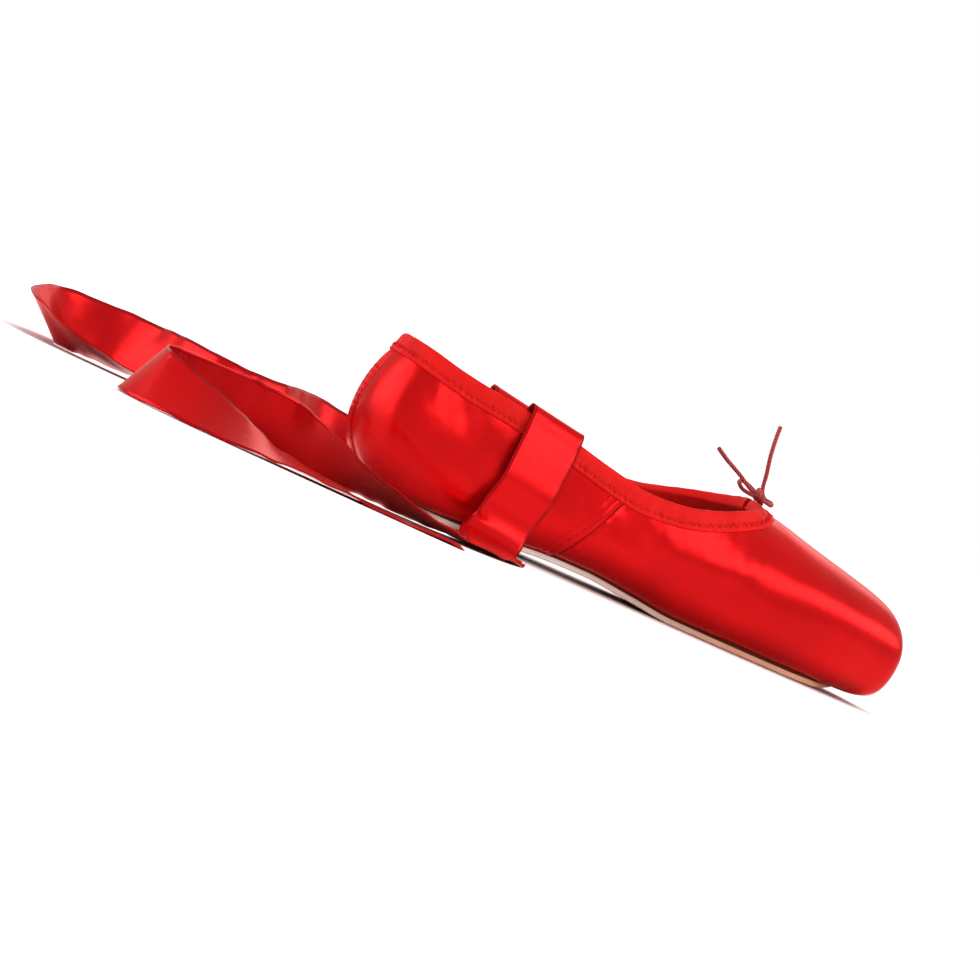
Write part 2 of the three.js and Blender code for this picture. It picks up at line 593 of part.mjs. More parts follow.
// The drawstring's runs from the middle of the knot: to the toe, to the far side and up, as shares of its size.
const KNOT_SIZE = 3 * CORD_DIAMETER;
const CORD_STEPS = 18;
const CORD_RUNS = {
  drawstring_loop_near: [
    [-0.12, -0.62, 0.14],
    [-0.9, -1.8, 0.5],
    [-1.3, -2.8, 0.3],
    [-0.95, -3.5, -0.1],
    [-0.1, -3.25, -0.25],
    [0.33, -2.1, -0.08],
    [0.27, -0.62, 0.0],
  ],
  drawstring_loop_far: [
    [-0.12, 0.62, 0.14],
    [-0.8, 1.9, 0.55],
    [-0.8, 3.0, 0.4],
    [-0.05, 3.55, -0.02],
    [0.65, 3.0, -0.15],
    [0.75, 1.95, -0.1],
    [0.27, 0.62, 0.0],
  ],
  drawstring_end_up: [
    [0.04, 0, 0.6],
    [-0.2, -0.1, 1.8],
    [-0.6, -0.3, 3.2],
    [-0.8, -0.3, 4.6],
    [-0.75, 0, 5.6],
  ],
  drawstring_end_back: [
    [-0.62, 0.05, 0.2],
    [-2, 0.4, 0.9],
    [-3.3, 0.6, 1.5],
    [-4.6, 0.2, 2.1],
  ],
};

// The knot sits over the gap between the binding's two ends.
function knotPlace() {
  const x = HEEL_X + SHOE_LENGTH * THROAT_AT + 0.35 * BINDING_WIDTH;
  const roof = sectionAtShare((x - HEEL_X) / SHOE_LENGTH).crown + BINDING_OUT;
  return new THREE.Vector3(x, 0, roof + CLEARANCE + KNOT_SIZE / 2);
}

function fromKnot(points) {
  return points.map((point) => knotPlace().addScaledVector(new THREE.Vector3(...point), KNOT_SIZE).toArray());
}

// Two turns of cord round each other, and the tail that comes up through the gap in the binding.
function knot() {
  const core = new THREE.SphereGeometry(0.36 * KNOT_SIZE, 10, 8);
  const turn = new THREE.TorusGeometry(0.5 * KNOT_SIZE - 0.5 * CORD_DIAMETER, 0.5 * CORD_DIAMETER, 6, 14);
  const other = turn.clone().rotateY(THREE.MathUtils.degToRad(75)).rotateZ(THREE.MathUtils.degToRad(20));
  turn.rotateX(THREE.MathUtils.degToRad(65));
  const at = knotPlace().toArray();
  const under = BINDING_OUT + KNOT_SIZE / 2 - CORD_DIAMETER / 2;
  const tail = cord([at, [at[0] + 0.3 * KNOT_SIZE, 0, at[2] - 0.5 * under], [at[0] + 0.4 * KNOT_SIZE, 0, at[2] - under]], 8);
  const round = [core, turn, other].map((geometry) => solidOf(geometry.translate(...at)));
  return round[0].add(round[1]).add(round[2]).add(tail);
}

const shoe = new THREE.Group();
function addPiece(name, solid, look) {
  const mesh = solid.getMesh();
  const geometry = new THREE.BufferGeometry();
  geometry.setAttribute("position", new THREE.BufferAttribute(new Float32Array(mesh.vertProperties), 3));
  geometry.setIndex(new THREE.BufferAttribute(new Uint32Array(mesh.triVerts), 1));
  geometry.computeVertexNormals();
  const [color, roughness] = colours[look];
  const piece = new THREE.Mesh(geometry, new THREE.MeshStandardMaterial({ color, roughness, metalness: 0 }));
  piece.name = name;
  shoe.add(piece);
}

addPiece("upper", upper(), "satin");
addPiece("binding", binding(), "binding");
addPiece("outsole", outsole(), "sole");
addPiece("insole", insole(), "lining");
addPiece("ribbon_near", ribbon(-1, NEAR_RIBBON_ROWS), "ribbon");
addPiece("ribbon_far", ribbon(1, FAR_RIBBON_ROWS), "ribbon");
addPiece("drawstring_knot", knot(), "cord");
for (const [name, points] of Object.entries(CORD_RUNS)) addPiece(name, cord(fromKnot(points), CORD_STEPS), "cord");

export default shoe;
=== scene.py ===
"""Looks of a red satin pointe shoe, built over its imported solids.

Lengths are millimetres until a mesh is made. x runs from heel to toe, and z is up.
"""

import logging
import math
from dataclasses import dataclass, field
from enum import Enum
from typing import Callable, Sequence

import bmesh
import bpy
import numpy as np
from mathutils import Matrix, Vector
from mathutils.bvhtree import BVHTree


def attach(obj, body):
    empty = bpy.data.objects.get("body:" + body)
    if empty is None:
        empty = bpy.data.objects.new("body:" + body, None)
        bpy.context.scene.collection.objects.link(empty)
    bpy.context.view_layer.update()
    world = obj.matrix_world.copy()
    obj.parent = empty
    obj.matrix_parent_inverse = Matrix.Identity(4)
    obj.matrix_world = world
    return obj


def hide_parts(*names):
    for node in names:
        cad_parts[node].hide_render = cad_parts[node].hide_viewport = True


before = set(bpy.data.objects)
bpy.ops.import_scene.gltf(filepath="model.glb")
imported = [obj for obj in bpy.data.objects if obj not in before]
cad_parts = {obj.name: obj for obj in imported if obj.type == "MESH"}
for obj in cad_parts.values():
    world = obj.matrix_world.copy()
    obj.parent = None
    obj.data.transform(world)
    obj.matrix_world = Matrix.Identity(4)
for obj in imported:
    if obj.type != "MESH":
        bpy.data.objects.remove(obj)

LOG = logging.getLogger("pointe_shoe")
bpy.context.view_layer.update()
BODY = "root"
MM = 0.001
TAU = 2.0 * math.pi
TINY = 1e-6
JOIN = 0.02
THREAD_TAPER = 0.35

Colour = tuple[float, float, float, float]
Point = tuple[float, float, float]
Grids = tuple[np.ndarray, np.ndarray]


class Side(Enum):
    """The two sides of the shoe, by the sign of their y."""

    NEAR = -1
    FAR = 1


def smoothstep(value: np.ndarray, low: float, high: float) -> np.ndarray:
    """Rises smoothly from 0 at low to 1 at high.

    Args:
        value: Numbers to test.
        low: Where the rise starts.
        high: Where it ends; it may be below low.

    Returns:
        The share of the rise at each number.
    """
    t = np.clip((np.asarray(value, float) - low) / (high - low), 0.0, 1.0)
    return t * t * (3.0 - 2.0 * t)


def bell(value: np.ndarray, centre: float, width: float) -> np.ndarray:
    """A soft bump of height 1 round a centre."""
    return np.exp(-(((value - centre) / width) ** 2))


def ripple(at: np.ndarray, pitch: float, seed: float) -> np.ndarray:
    """An uneven wave along a line, made of a few sines.

    Args:
        at: Places along the line.
        pitch: Its usual wavelength.
        seed: Shifts the pattern.

    Returns:
        Heights from about -1 to 1.
    """
    w = TAU / pitch
    first = np.sin(w * at + 3.1 * seed + 1.3 * np.sin(0.31 * w * at + seed))
    return 0.6 * first + 0.4 * np.sin(1.73 * w * at + 1.7 * seed)


def running_length(points: np.ndarray) -> np.ndarray:
    """Distances along a line of points, from 0 at the first."""
    steps = np.linalg.norm(np.diff(points, axis=0), axis=1)
    return np.concatenate([[0.0], np.cumsum(steps)])


def pick(marks: np.ndarray, run: np.ndarray, rows: np.ndarray) -> np.ndarray:
    """Rows at chosen distances along their line.

    Args:
        marks: The distances wanted.
        run: The distance of each row.
        rows: The rows to pick from.

    Returns:
        One row for each mark.
    """
    columns = [np.interp(marks, run, rows[:, k]) for k in range(rows.shape[1])]
    return np.stack(columns, axis=1)


def soften(rows: np.ndarray, times: int) -> None:
    """Evens out rows along their line, in place; the first and last stay."""
    for _ in range(times):
        rows[1:-1] = 0.25 * rows[:-2] + 0.5 * rows[1:-1] + 0.25 * rows[2:]


def spline(rows: np.ndarray, samples: int, with_end: bool) -> np.ndarray:
    """A smooth line through rows whose first three columns are a point.

    Args:
        rows: The rows it passes.
        samples: Samples between one row and the next.
        with_end: Whether the last row is sampled too.

    Returns:
        The sampled rows.
    """

    def between(t: np.ndarray, start: float, end: float, first: object, last: object) -> object:
        """The rows at t on a straight line from start to end."""
        return ((end - t) * first + (t - start) * last) / (end - start)

    p = np.vstack([2 * rows[0] - rows[1], rows, 2 * rows[-1] - rows[-2]])
    line = []
    for i in range(1, len(p) - 2):
        q = p[i - 1 : i + 3]
        gaps = np.sqrt(np.linalg.norm(np.diff(q[:, :3], axis=0), axis=1))
        k = np.concatenate([[0.0], np.cumsum(gaps)])
        closing = with_end and i == len(p) - 3
        t = np.linspace(k[1], k[2], samples, endpoint=closing)[:, None]
        a = [between(t, k[m], k[m + 1], q[m], q[m + 1]) for m in range(3)]
        b = [between(t, k[m], k[m + 2], a[m], a[m + 1]) for m in range(2)]
        line.append(between(t, k[1], k[2], b[0], b[1]))
    return np.vstack(line)


def smooth_path(points: np.ndarray, step: float) -> np.ndarray:
    """A smooth line through points, sampled evenly.

    Args:
        points: The points it passes.
        step: The distance between samples.

    Returns:
        Points along the line.
    """
    dense = spline(points, 24, with_end=True)
    run = running_length(dense)
    return pick(np.linspace(0.0, run[-1], max(3, int(run[-1] / step) + 1)), run, dense)


class SmoothRows:
    """A smooth curve through rows of numbers that never swings past its neighbours."""

    def __init__(self, knots: Sequence[float], rows: Sequence[Sequence[float]]) -> None:
        """Works out the slope at each row.

        Args:
            knots: Where each row stands.
            rows: The numbers met there.
        """
        self.knots = np.array(knots, float)
        self.rows = np.array(rows, float)
        step = np.diff(self.rows, axis=0) / np.diff(self.knots)[:, None]
        before, after = step[:-1], step[1:]
        span = (self.knots[2:] - self.knots[:-2])[:, None]
        mean = (self.rows[2:] - self.rows[:-2]) / span
        limit = 3.0 * np.minimum(np.abs(before), np.abs(after))
        slope = np.sign(mean) * np.minimum(np.abs(mean), limit)
        inner = np.where(before * after <= 0, 0.0, slope)
        self.slopes = np.vstack([step[:1], inner, step[-1:]])

    def __call__(self, at: np.ndarray) -> np.ndarray:
        """The rows' values at places along the knots.

        Args:
            at: Places, of any shape.

        Returns:
            Values with one more axis, that of the columns.
        """
        at = np.asarray(at, float)
        i = np.clip(np.searchsorted(self.knots, at, side="right") - 1, 0, len(self.knots) - 2)
        span = (self.knots[i + 1] - self.knots[i])[..., None]
        t = np.clip((at[..., None] - self.knots[i][..., None]) / span, 0.0, 1.0)
        start, end = self.rows[i], self.rows[i + 1]
        m0, m1 = span * self.slopes[i], span * self.slopes[i + 1]
        rise = (2 * t**3 - 3 * t**2 + 1) * start + (t**3 - 2 * t**2 + t) * m0
        return rise + (3 * t**2 - 2 * t**3) * end + (t**3 - t**2) * m1


@dataclass(frozen=True)
class ShoeSizes:
    """The last's and the trims' sizes, the same as the solids'."""

    length: float = 230.0
    heel_width: float = 55.0
    waist_width: float = 60.0
    ball_width: float = 75.0
    platform_width: float = 46.0
    heel_height: float = 57.5
    side_height: float = 41.0
    throat_height: float = 52.0
    instep_height: float = 74.0
    toe_height: float = 40.0
    vamp_length: float = 75.0
    belly_height: float = 20.0
    wall: float = 1.6
    box_wall: float = 3.0
    clearance: float = 0.3
    outsole_thickness: float = 2.2
    insole_thickness: float = 1.5
    arch_height: float = 3.2
    toe_spring: float = 1.5
    binding_width: float = 8.0
    quarter_lap: float = 0.5
    side_seam_at: float = 0.36
    side_seam_lean: float = 25.0
    stitch_rows: tuple[float, float] = (2.5, 5.5)
    back_seam_width: float = 3.6
    back_seam_reach: float = 24.0

    @property
    def heel_x(self) -> float:
        """Where the back of the heel is."""
        return -self.length / 2

    @property
    def sole_top(self) -> float:
        """The level of the last's bottom over the floor."""
        return self.outsole_thickness + self.clearance

    @property
    def throat_at(self) -> float:
        """The throat's share of the length."""
        return 1.0 - self.vamp_length / self.length

    @property
    def seam_foot(self) -> float:
        """Where a side seam's edge would meet the floor."""
        return self.heel_x + self.length * self.side_seam_at

    @property
    def seam_slope(self) -> float:
        """How far a side seam leans forward for its height."""
        return math.tan(math.radians(self.side_seam_lean))


@dataclass(frozen=True)
class Fold:
    """A soft trough or ridge in the satin, from one place in side view to another."""

    start: tuple[float, float]
    end: tuple[float, float]
    width: float
    height: float
    sides: tuple[Side, ...] = (Side.NEAR, Side.FAR)
    bow: float = 0.12

    def relief(self, x: np.ndarray, y: np.ndarray, z: np.ndarray) -> np.ndarray:
        """How far the fold pushes the satin out at each point.

        Args:
            x: Places along the shoe.
            y: Places across it.
            z: Heights.

        Returns:
            The push, negative in a trough.
        """
        a, b = np.array(self.start), np.array(self.end)
        along = b - a
        long = float(np.hypot(*along))
        along = along / long
        px, pz = x - a[0], z - a[1]
        s = px * along[0] + pz * along[1]
        across = -px * along[1] + pz * along[0]
        arc = np.sin(math.pi * np.clip(s / long, 0, 1))
        bend = self.bow * long * arc * np.sign(self.width)
        ends = smoothstep(s, -0.25 * long, 0.3 * long) * smoothstep(s, 1.25 * long, 0.7 * long)
        share = np.zeros_like(x)
        for side in self.sides:
            share = np.maximum(share, smoothstep(side.value * y, 0.0, 6.0))
        return self.height * share * ends * bell(across, bend, abs(self.width))


@dataclass(frozen=True)
class SatinRelief:
    """How the satin stands out of the plain form: laps, seams, puckers, pleats and folds."""

    sizes: ShoeSizes
    folds: Sequence[Fold]
    seam_groove: float = 0.45
    stitch_grooves: tuple[float, float] = (0.24, 0.2)
    seam_pull: float = 0.14
    stitch_pull: float = 0.1
    back_lap: float = 0.5
    back_groove: float = 0.35
    back_full: float = 14.0
    pucker: float = 0.16
    pucker_pitch: float = 12.0
    gather: float = 0.22
    gather_pitch: float = 19.0
    gather_centre: float = 34.0
    pleat: float = 0.42
    pleats_in_turn: float = 8.0
    pleat_centre: float = 76.0

    def side_seam(self, x: np.ndarray, z: np.ndarray, lift: np.ndarray) -> list[np.ndarray]:
        """The quarter lapped over the vamp, the seam's edge and its rows of stitches.

        Args:
            x: Places along the shoe.
            z: Heights.
            lift: 0 at the sole line, 1 above it.

        Returns:
            The pushes that make it.
        """
        s = self.sizes
        behind = s.seam_foot + z * s.seam_slope - x
        parts = [s.quarter_lap * smoothstep(behind, -0.25, 0.25) * lift]
        parts.append(-self.seam_groove * bell(behind, -0.7, 0.5) * lift)
        for row, groove in zip(s.stitch_rows, self.stitch_grooves):
            parts.append(-groove * bell(behind, row, 0.6))
        parts.append(self.seam_pull * bell(behind, -2.4, 1.6) * ripple(z, 5.5, 2.0) * lift)
        parts.append(self.stitch_pull * bell(behind, 4.0, 1.0) * ripple(z, 3.1, 0.6) * lift)
        return parts

    def back_seam(self, x: np.ndarray, y: np.ndarray, lift: np.ndarray) -> list[np.ndarray]:
        """The strip that covers the back seam, and the seam's groove down its middle.

        Args:
            x: Places along the shoe.
            y: Places across it.
            lift: 0 at the sole line, 1 above it.

        Returns:
            The pushes that make it.
        """
        s = self.sizes
        back = smoothstep(x, s.heel_x + s.back_seam_reach, s.heel_x + self.back_full) * lift
        half = s.back_seam_width / 2
        strip = back * self.back_lap * smoothstep(np.abs(y), half + 0.4, half - 0.4)
        return [strip, -back * self.back_groove * bell(y, 0.0, 0.5)]

    def gathers(self, points: np.ndarray, share: np.ndarray, under: np.ndarray) -> list[np.ndarray]:
        """Puckers below the binding, gathers ahead of the throat and pleats under the toe.

        Args:
            points: Points of the plain form.
            share: Their shares of the length.
            under: How far each is below the collar.

        Returns:
            The pushes that make them.
        """
        x, y, z = points[..., 0], points[..., 1], points[..., 2]
        band = smoothstep(under, 5.0, 9.0) * smoothstep(under, 21.0, 11.0)
        puckers = band * smoothstep(share, 0.665, 0.64)
        wave = ripple(x + 0.25 * z, self.pucker_pitch, np.sign(y) * 1.7)
        throat = smoothstep(x, 44.0, 51.5) * smoothstep(x, 66.0, 53.0)
        throat = throat * smoothstep(np.abs(y), 20.0, 10.0)
        turn = np.degrees(np.arctan2(y, x - self.gather_centre))
        rays = ripple(turn, self.gather_pitch, 0.7) * smoothstep(z, 35, 44)
        tip = x - self.pleat_centre
        turn = np.degrees(np.arctan2(y, tip))
        beat = np.sin(np.radians(turn * self.pleats_in_turn) + 0.5 * np.sin(turn * 0.2))
        pleats = smoothstep(tip, 4.0, 16.0) * smoothstep(z, 11.5, 5.0)
        return [
            self.pucker * puckers * wave,
            self.gather * throat * rays,
            self.pleat * pleats * np.abs(beat),
        ]

    def push(self, points: np.ndarray, share: np.ndarray, under: np.ndarray) -> np.ndarray:
        """How far the satin stands out at each point.

        Args:
            points: Points of the plain form.
            share: Their shares of the length.
            under: How far each is below the collar.

        Returns:
            The push along the form's normal.
        """
        x, y, z = points[..., 0], points[..., 1], points[..., 2]
        lift = smoothstep(z, self.sizes.sole_top + 0.3, self.sizes.sole_top + 2.5)
        parts = self.side_seam(x, z, lift) + self.back_seam(x, y, lift)
        parts += self.gathers(points, share, under)
        parts += [fold.relief(x, y, z) for fold in self.folds]
        push = np.zeros_like(x)
        for part in parts:
            push = push + part
        return push


class Last:
    """The form of the shoe: sections from the heel's back to the platform, dressed in satin."""

    FLAT = 0.16
    CORNER = 0.42
    SAMPLES = 6000

    def __init__(self, sizes: ShoeSizes, folds: Sequence[Fold]) -> None:
        """Sets up the section and collar curves.

        Args:
            sizes: The shoe's sizes.
            folds: The satin's listed folds.
        """
        self.sizes = sizes
        self.satin = SatinRelief(sizes, folds)
        rows = np.array(self.section_rows(), float)
        step = np.diff(rows[:, [0, 1, 5]], axis=0) * np.array([sizes.length, 1.0, 1.0])
        self.knots = np.concatenate([[0.0], np.cumsum(np.linalg.norm(step, axis=1))])
        self.sections = SmoothRows(self.knots, rows)
        self.travel = np.linspace(0.0, self.knots[-1], self.SAMPLES)
        self.travel_share = np.maximum.accumulate(self.sections(self.travel)[:, 0])
        collar = np.array(self.collar_rows(), float)
        self.collar = SmoothRows(collar[:, 0], collar)

    def section_rows(self) -> list[tuple[float, ...]]:
        """The form's sections, each given by eight numbers.

        Returns:
            Share of the length, half width, half flat bottom, bottom over the sole, height
            where it is widest, top, and the powers of its lower and upper curves.
        """
        s = self.sizes
        heel, waist, ball, toe = s.heel_width, s.waist_width, s.ball_width, s.platform_width
        tall, instep, throat, top = s.heel_height, s.instep_height, s.throat_height, s.toe_height
        belly, arch, spring = s.belly_height, s.arch_height, s.toe_spring
        return [
            (0.0, 0.0, 0.0, 0.46 * tall, 1.45 * belly, 0.504 * tall, 2, 2),
            (0.0026, 0.109 * heel, 0.02 * heel, 0.365 * tall, 1.43 * belly, 0.617 * tall, 2, 2),
            (0.0096, 0.205 * heel, 0.05 * heel, 0.273 * tall, 1.4 * belly, 0.748 * tall, 2, 2),
            (0.0226, 0.305 * heel, 0.1 * heel, 0.186 * tall, 1.35 * belly, 0.87 * tall, 2, 2),
            (0.0435, 0.393 * heel, 0.17 * heel, 0.1 * tall, 1.3 * belly, 1.02 * tall, 2.1, 2.05),
            (0.074, 0.455 * heel, 0.23 * heel, 0.038 * tall, 1.22 * belly, 0.9 * instep, 2.2, 2.1),
            (0.117, 0.491 * heel, 0.29 * heel, 0.0, 1.14 * belly, 0.97 * instep, 2.3, 2.15),
            (0.183, 0.505 * heel, 0.32 * heel, 0.0, 1.08 * belly, instep, 2.3, 2.2),
            (0.261, 0.474 * waist, 0.29 * waist, 0.25 * arch,
             1.04 * belly, 0.99 * instep, 2.2, 2.2),
            (0.348, 0.489 * waist, 0.26 * waist, 0.85 * arch,
             1.04 * belly, 0.96 * instep, 2.1, 2.2),
            (0.435, 0.514 * waist, 0.26 * waist, arch, 1.04 * belly, 0.91 * instep, 2.1, 2.2),
            (0.522, 0.445 * ball, 0.24 * ball, 0.5 * arch, belly, 1.205 * throat, 2.1, 2.2),
            (0.6, 0.479 * ball, 0.28 * ball, 0.0, 0.97 * belly, 1.1 * throat, 2.1, 2.2),
            (0.67, 0.498 * ball, 0.3 * ball, 0.0, 0.95 * belly, 1.025 * throat, 2.2, 2.25),
            (0.739, 0.495 * ball, 0.3 * ball, 0.0, 0.94 * belly, 0.975 * throat, 2.2, 2.3),
            (0.809, 0.47 * ball, 0.27 * ball, 0.0, 0.96 * belly, 1.18 * top, 2.2, 2.35),
            (0.878, 0.425 * ball, 0.23 * ball, 0.25 * spring, 0.97 * belly, 1.1 * top, 2.2, 2.45),
            (0.93, 0.61 * toe, 0.31 * toe, 0.6 * spring, belly, 1.035 * top, 2.2, 2.5),
            (0.965, 0.556 * toe, 0.27 * toe, spring, 1.02 * belly, 0.965 * top, 2.2, 2.5),
            (0.985, 0.51 * toe, 0.25 * toe, 0.085 * top, 1.03 * belly, 0.875 * top, 2.2, 2.5),
            (0.9955, 0.45 * toe, 0.22 * toe, 0.165 * top, 1.03 * belly, 0.765 * top, 2.2, 2.4),
            (0.9985, 0.38 * toe, 0.18 * toe, 0.235 * top, 1.01 * belly, 0.67 * top, 2.2, 2.3),
            (0.9996, 0.2 * toe, 0.09 * toe, 0.32 * top, 0.98 * belly, 0.575 * top, 2.1, 2.1),
            (1.0, 0.0, 0.0, 0.4125 * top, 0.95 * belly, 0.475 * top, 2, 2),
        ]

    def collar_rows(self) -> list[tuple[float, float]]:
        """The collar's edge in side view.

        Returns:
            Shares of the length and heights.
        """
        s = self.sizes
        throat = s.throat_at
        return [
            (-0.03, 1.03 * s.heel_height),
            (0.04, 0.985 * s.heel_height),
            (0.11, 0.925 * s.heel_height),
            (0.2, 1.23 * s.side_height),
            (0.3, 1.16 * s.side_height),
            (0.39, 1.06 * s.side_height),
            (0.47, 1.0 * s.side_height),
            (throat - 0.14, 1.03 * s.side_height),
            (throat - 0.09, 0.87 * s.throat_height),
            (throat - 0.045, 0.935 * s.throat_height),
            (throat - 0.012, 0.985 * s.throat_height),
            (throat + 0.002, 1.06 * s.throat_height),
            (throat + 0.005, 1.25 * s.throat_height),
        ]

    def x_of(self, share: np.ndarray) -> np.ndarray:
        """Turns a share of the length into x."""
        return self.sizes.heel_x + self.sizes.length * np.asarray(share, float)

    def share_of(self, x: np.ndarray) -> np.ndarray:
        """Turns x into a share of the length."""
        return (np.asarray(x, float) - self.sizes.heel_x) / self.sizes.length

    def values(self, share: np.ndarray) -> np.ndarray:
        """The section's numbers at shares of the length."""
        return self.sections(np.interp(share, self.travel_share, self.travel))

    def collar_height(self, share: np.ndarray) -> np.ndarray:
        """The collar's height at shares of the length."""
        return self.collar(share)[..., 1]

    def collar_rise(self, values: np.ndarray, short: float = 0.0) -> np.ndarray:
        """How far up the upper curve the collar stands, as a share of the curve's height.

        Args:
            values: Section numbers, one row each.
            short: How far below the collar it is read.

        Returns:
            The share for each section, above 1 where the form is closed.
        """
        share, belly, crown = values[:, 0], values[:, 4], values[:, 5]
        height = self.collar_height(share) - short - belly
        return height / np.maximum(crown - belly, TINY)

    def cut(self, values: np.ndarray, short: float = 0.0) -> np.ndarray:
        """The half section's parameter where the collar cuts it, 1 where it doesn't.

        Args:
            values: Section numbers, one row each.
            short: How far below the collar the cut is made.

        Returns:
            The parameter for each section.
        """
        rise = np.clip(self.collar_rise(values, short), 0.0, 1.0)
        angle = np.arcsin(np.clip(rise ** (values[:, 7] / 2.0), 0.0, 1.0))
        return self.CORNER + (1.0 - self.CORNER) * angle / (math.pi / 2.0)

    def half_section(self, values: np.ndarray, u: np.ndarray) -> Grids:
        """Half sections from the middle of the bottom, u = 0, to the middle of the top, u = 1.

        Args:
            values: Section numbers, one row each.
            u: Parameters, one row for each section.

        Returns:
            The half widths and heights.
        """
        half, flat, rise, belly, crown, corner, power = (values[:, k : k + 1] for k in range(1, 8))
        bottom = self.sizes.sole_top + rise
        low = np.clip((u - self.FLAT) / (self.CORNER - self.FLAT), 0.0, 1.0) * math.pi / 2
        high = np.clip((u - self.CORNER) / (1 - self.CORNER), 0.0, 1.0) * math.pi / 2
        sin_low, cos_low = np.abs(np.sin(low)), np.abs(np.cos(low))
        sin_high, cos_high = np.abs(np.sin(high)), np.clip(np.cos(high), 0.0, 1.0)
        round_out = flat + (half - flat) * sin_low ** (2 / corner)
        y = np.where(u < self.FLAT, flat * u / self.FLAT, round_out)
        z = np.where(u < self.FLAT, bottom, belly - (belly - bottom) * cos_low ** (2 / corner))
        cos_high = np.where(u >= 0.99999, 0.0, cos_high)
        y = np.where(u > self.CORNER, half * cos_high ** (2 / power), y)
        z = np.where(u > self.CORNER, belly + (crown - belly) * sin_high ** (2 / power), z)
        return y, z

    def side_at(self, share: float, height: float) -> float:
        """How far the form reaches sideways.

        Args:
            share: A share of the length.
            height: A height over the floor.

        Returns:
            The distance from the shoe's middle.
        """
        _, half, flat, rise, belly, crown, corner, power = self.values(np.array([share]))[0]
        if height >= belly:
            lift = min(1.0, (height - belly) / (crown - belly))
            return float(half * (1 - lift**power) ** (1 / power))
        drop = min(1.0, (belly - height) / (belly - self.sizes.sole_top - rise))
        return float(flat + (half - flat) * (1 - drop**corner) ** (1 / corner))

    def half_points(self, travel: np.ndarray, u: np.ndarray) -> np.ndarray:
        """Points on the far half of the plain form.

        Args:
            travel: Distances along the form, one for each row.
            u: Parameters round the half section, rows by columns.

        Returns:
            Points as rows by columns by 3.
        """
        values = self.sections(np.clip(travel, 0.0, self.knots[-1]))
        y, z = self.half_section(values, u)
        return np.stack([np.broadcast_to(self.x_of(values[:, 0])[:, None], y.shape), y, z], axis=2)

    def half_normals(self, travel: np.ndarray, u: np.ndarray) -> np.ndarray:
        """Outward unit normals on the far half of the plain form.

        Args:
            travel: Distances along the form, one for each row.
            u: Parameters round the half section, rows by columns.

        Returns:
            Normals as rows by columns by 3.
        """
        step, turn = 0.2, 0.003
        along = self.half_points(travel + step, u) - self.half_points(travel - step, u)
        onward, back = np.clip(u + turn, 0.0, 1.0), np.clip(u - turn, 0.0, 1.0)
        around = self.half_points(travel, onward) - self.half_points(travel, back)
        normal = np.cross(around, along)
        normal[..., 1] = np.where((u < TINY) | (u > 1 - TINY), 0.0, normal[..., 1])
        normal[0], normal[-1] = [-1, 0, 0], [1, 0, 0]
        return normal / np.maximum(np.linalg.norm(normal, axis=2, keepdims=True), 1e-9)

    def shell(
        self, rows: int, columns: int, open_collar: bool = True, short: float = 0.0
    ) -> Grids:
        """The form as a grid, from the collar's near edge under the foot to its far edge.

        Args:
            rows: Stations along the shoe.
            columns: Points from the middle of the bottom to the middle of the top.
            open_collar: Whether the collar cuts the form; what is above falls on its edge.
            short: How far below the collar the cut is made.

        Returns:
            Points and outward normals, each as rows by 2 columns + 1 by 3.
        """
        travel = np.linspace(0.0, self.knots[-1], rows)
        top = self.cut(self.sections(travel), short) if open_collar else np.ones(rows)
        v = np.linspace(-1.0, 1.0, 2 * columns + 1)
        u = np.minimum(np.abs(v)[None, :], top[:, None])
        ones = np.ones_like(v)
        mirror = np.stack([ones, np.where(v < 0, -1.0, 1.0), ones], axis=1)
        return self.half_points(travel, u) * mirror, self.half_normals(travel, u) * mirror

    def skin(self, rows: int, columns: int, open_collar: bool = True) -> np.ndarray:
        """The satin's outer face.

        Args:
            rows: Stations along the shoe.
            columns: Points from the middle of the bottom to the middle of the top.
            open_collar: Whether the collar cuts it open.

        Returns:
            Its grid of points.
        """
        points, normals = self.shell(rows, columns, open_collar)
        share = self.share_of(points[..., 0])
        under = self.collar_height(share) - points[..., 2]
        return points + normals * self.satin.push(points, share, under)[..., None]

    def wall(self, share: np.ndarray) -> np.ndarray:
        """The upper's thickness: thin quarters and a thick box.

        Args:
            share: Shares of the length.

        Returns:
            The thickness at each.
        """
        s = self.sizes
        boxed = smoothstep(share, s.throat_at - 0.1, s.throat_at + 0.08)
        return s.wall + (s.box_wall - s.wall) * boxed

    def bottom_at(self, share: np.ndarray, across: np.ndarray) -> np.ndarray:
        """The level of the form's underside.

        Args:
            share: Shares of the length.
            across: Distances from the middle.

        Returns:
            The height at each place.
        """
        _, half, flat, rise, belly, _, corner, _ = np.moveaxis(self.values(share), -1, 0)
        out = np.clip((across - flat) / np.maximum(half - flat, TINY), 0.0, 0.999)
        out = out ** (corner / 2)
        bottom = self.sizes.sole_top + rise
        return belly - (belly - bottom) * np.sqrt(1 - out**2) ** (2 / corner)

    def lining(self, rows: int, columns: int) -> np.ndarray:
        """The inner face of the wall, ending behind the binding.

        Args:
            rows: Stations along the shoe.
            columns: Points from the middle of the bottom to the middle of the top.

        Returns:
            Its grid of points.
        """
        points, normals = self.shell(rows, columns, short=2.0)
        wall = self.wall(self.share_of(points[..., 0]))
        return points - normals * wall[..., None]


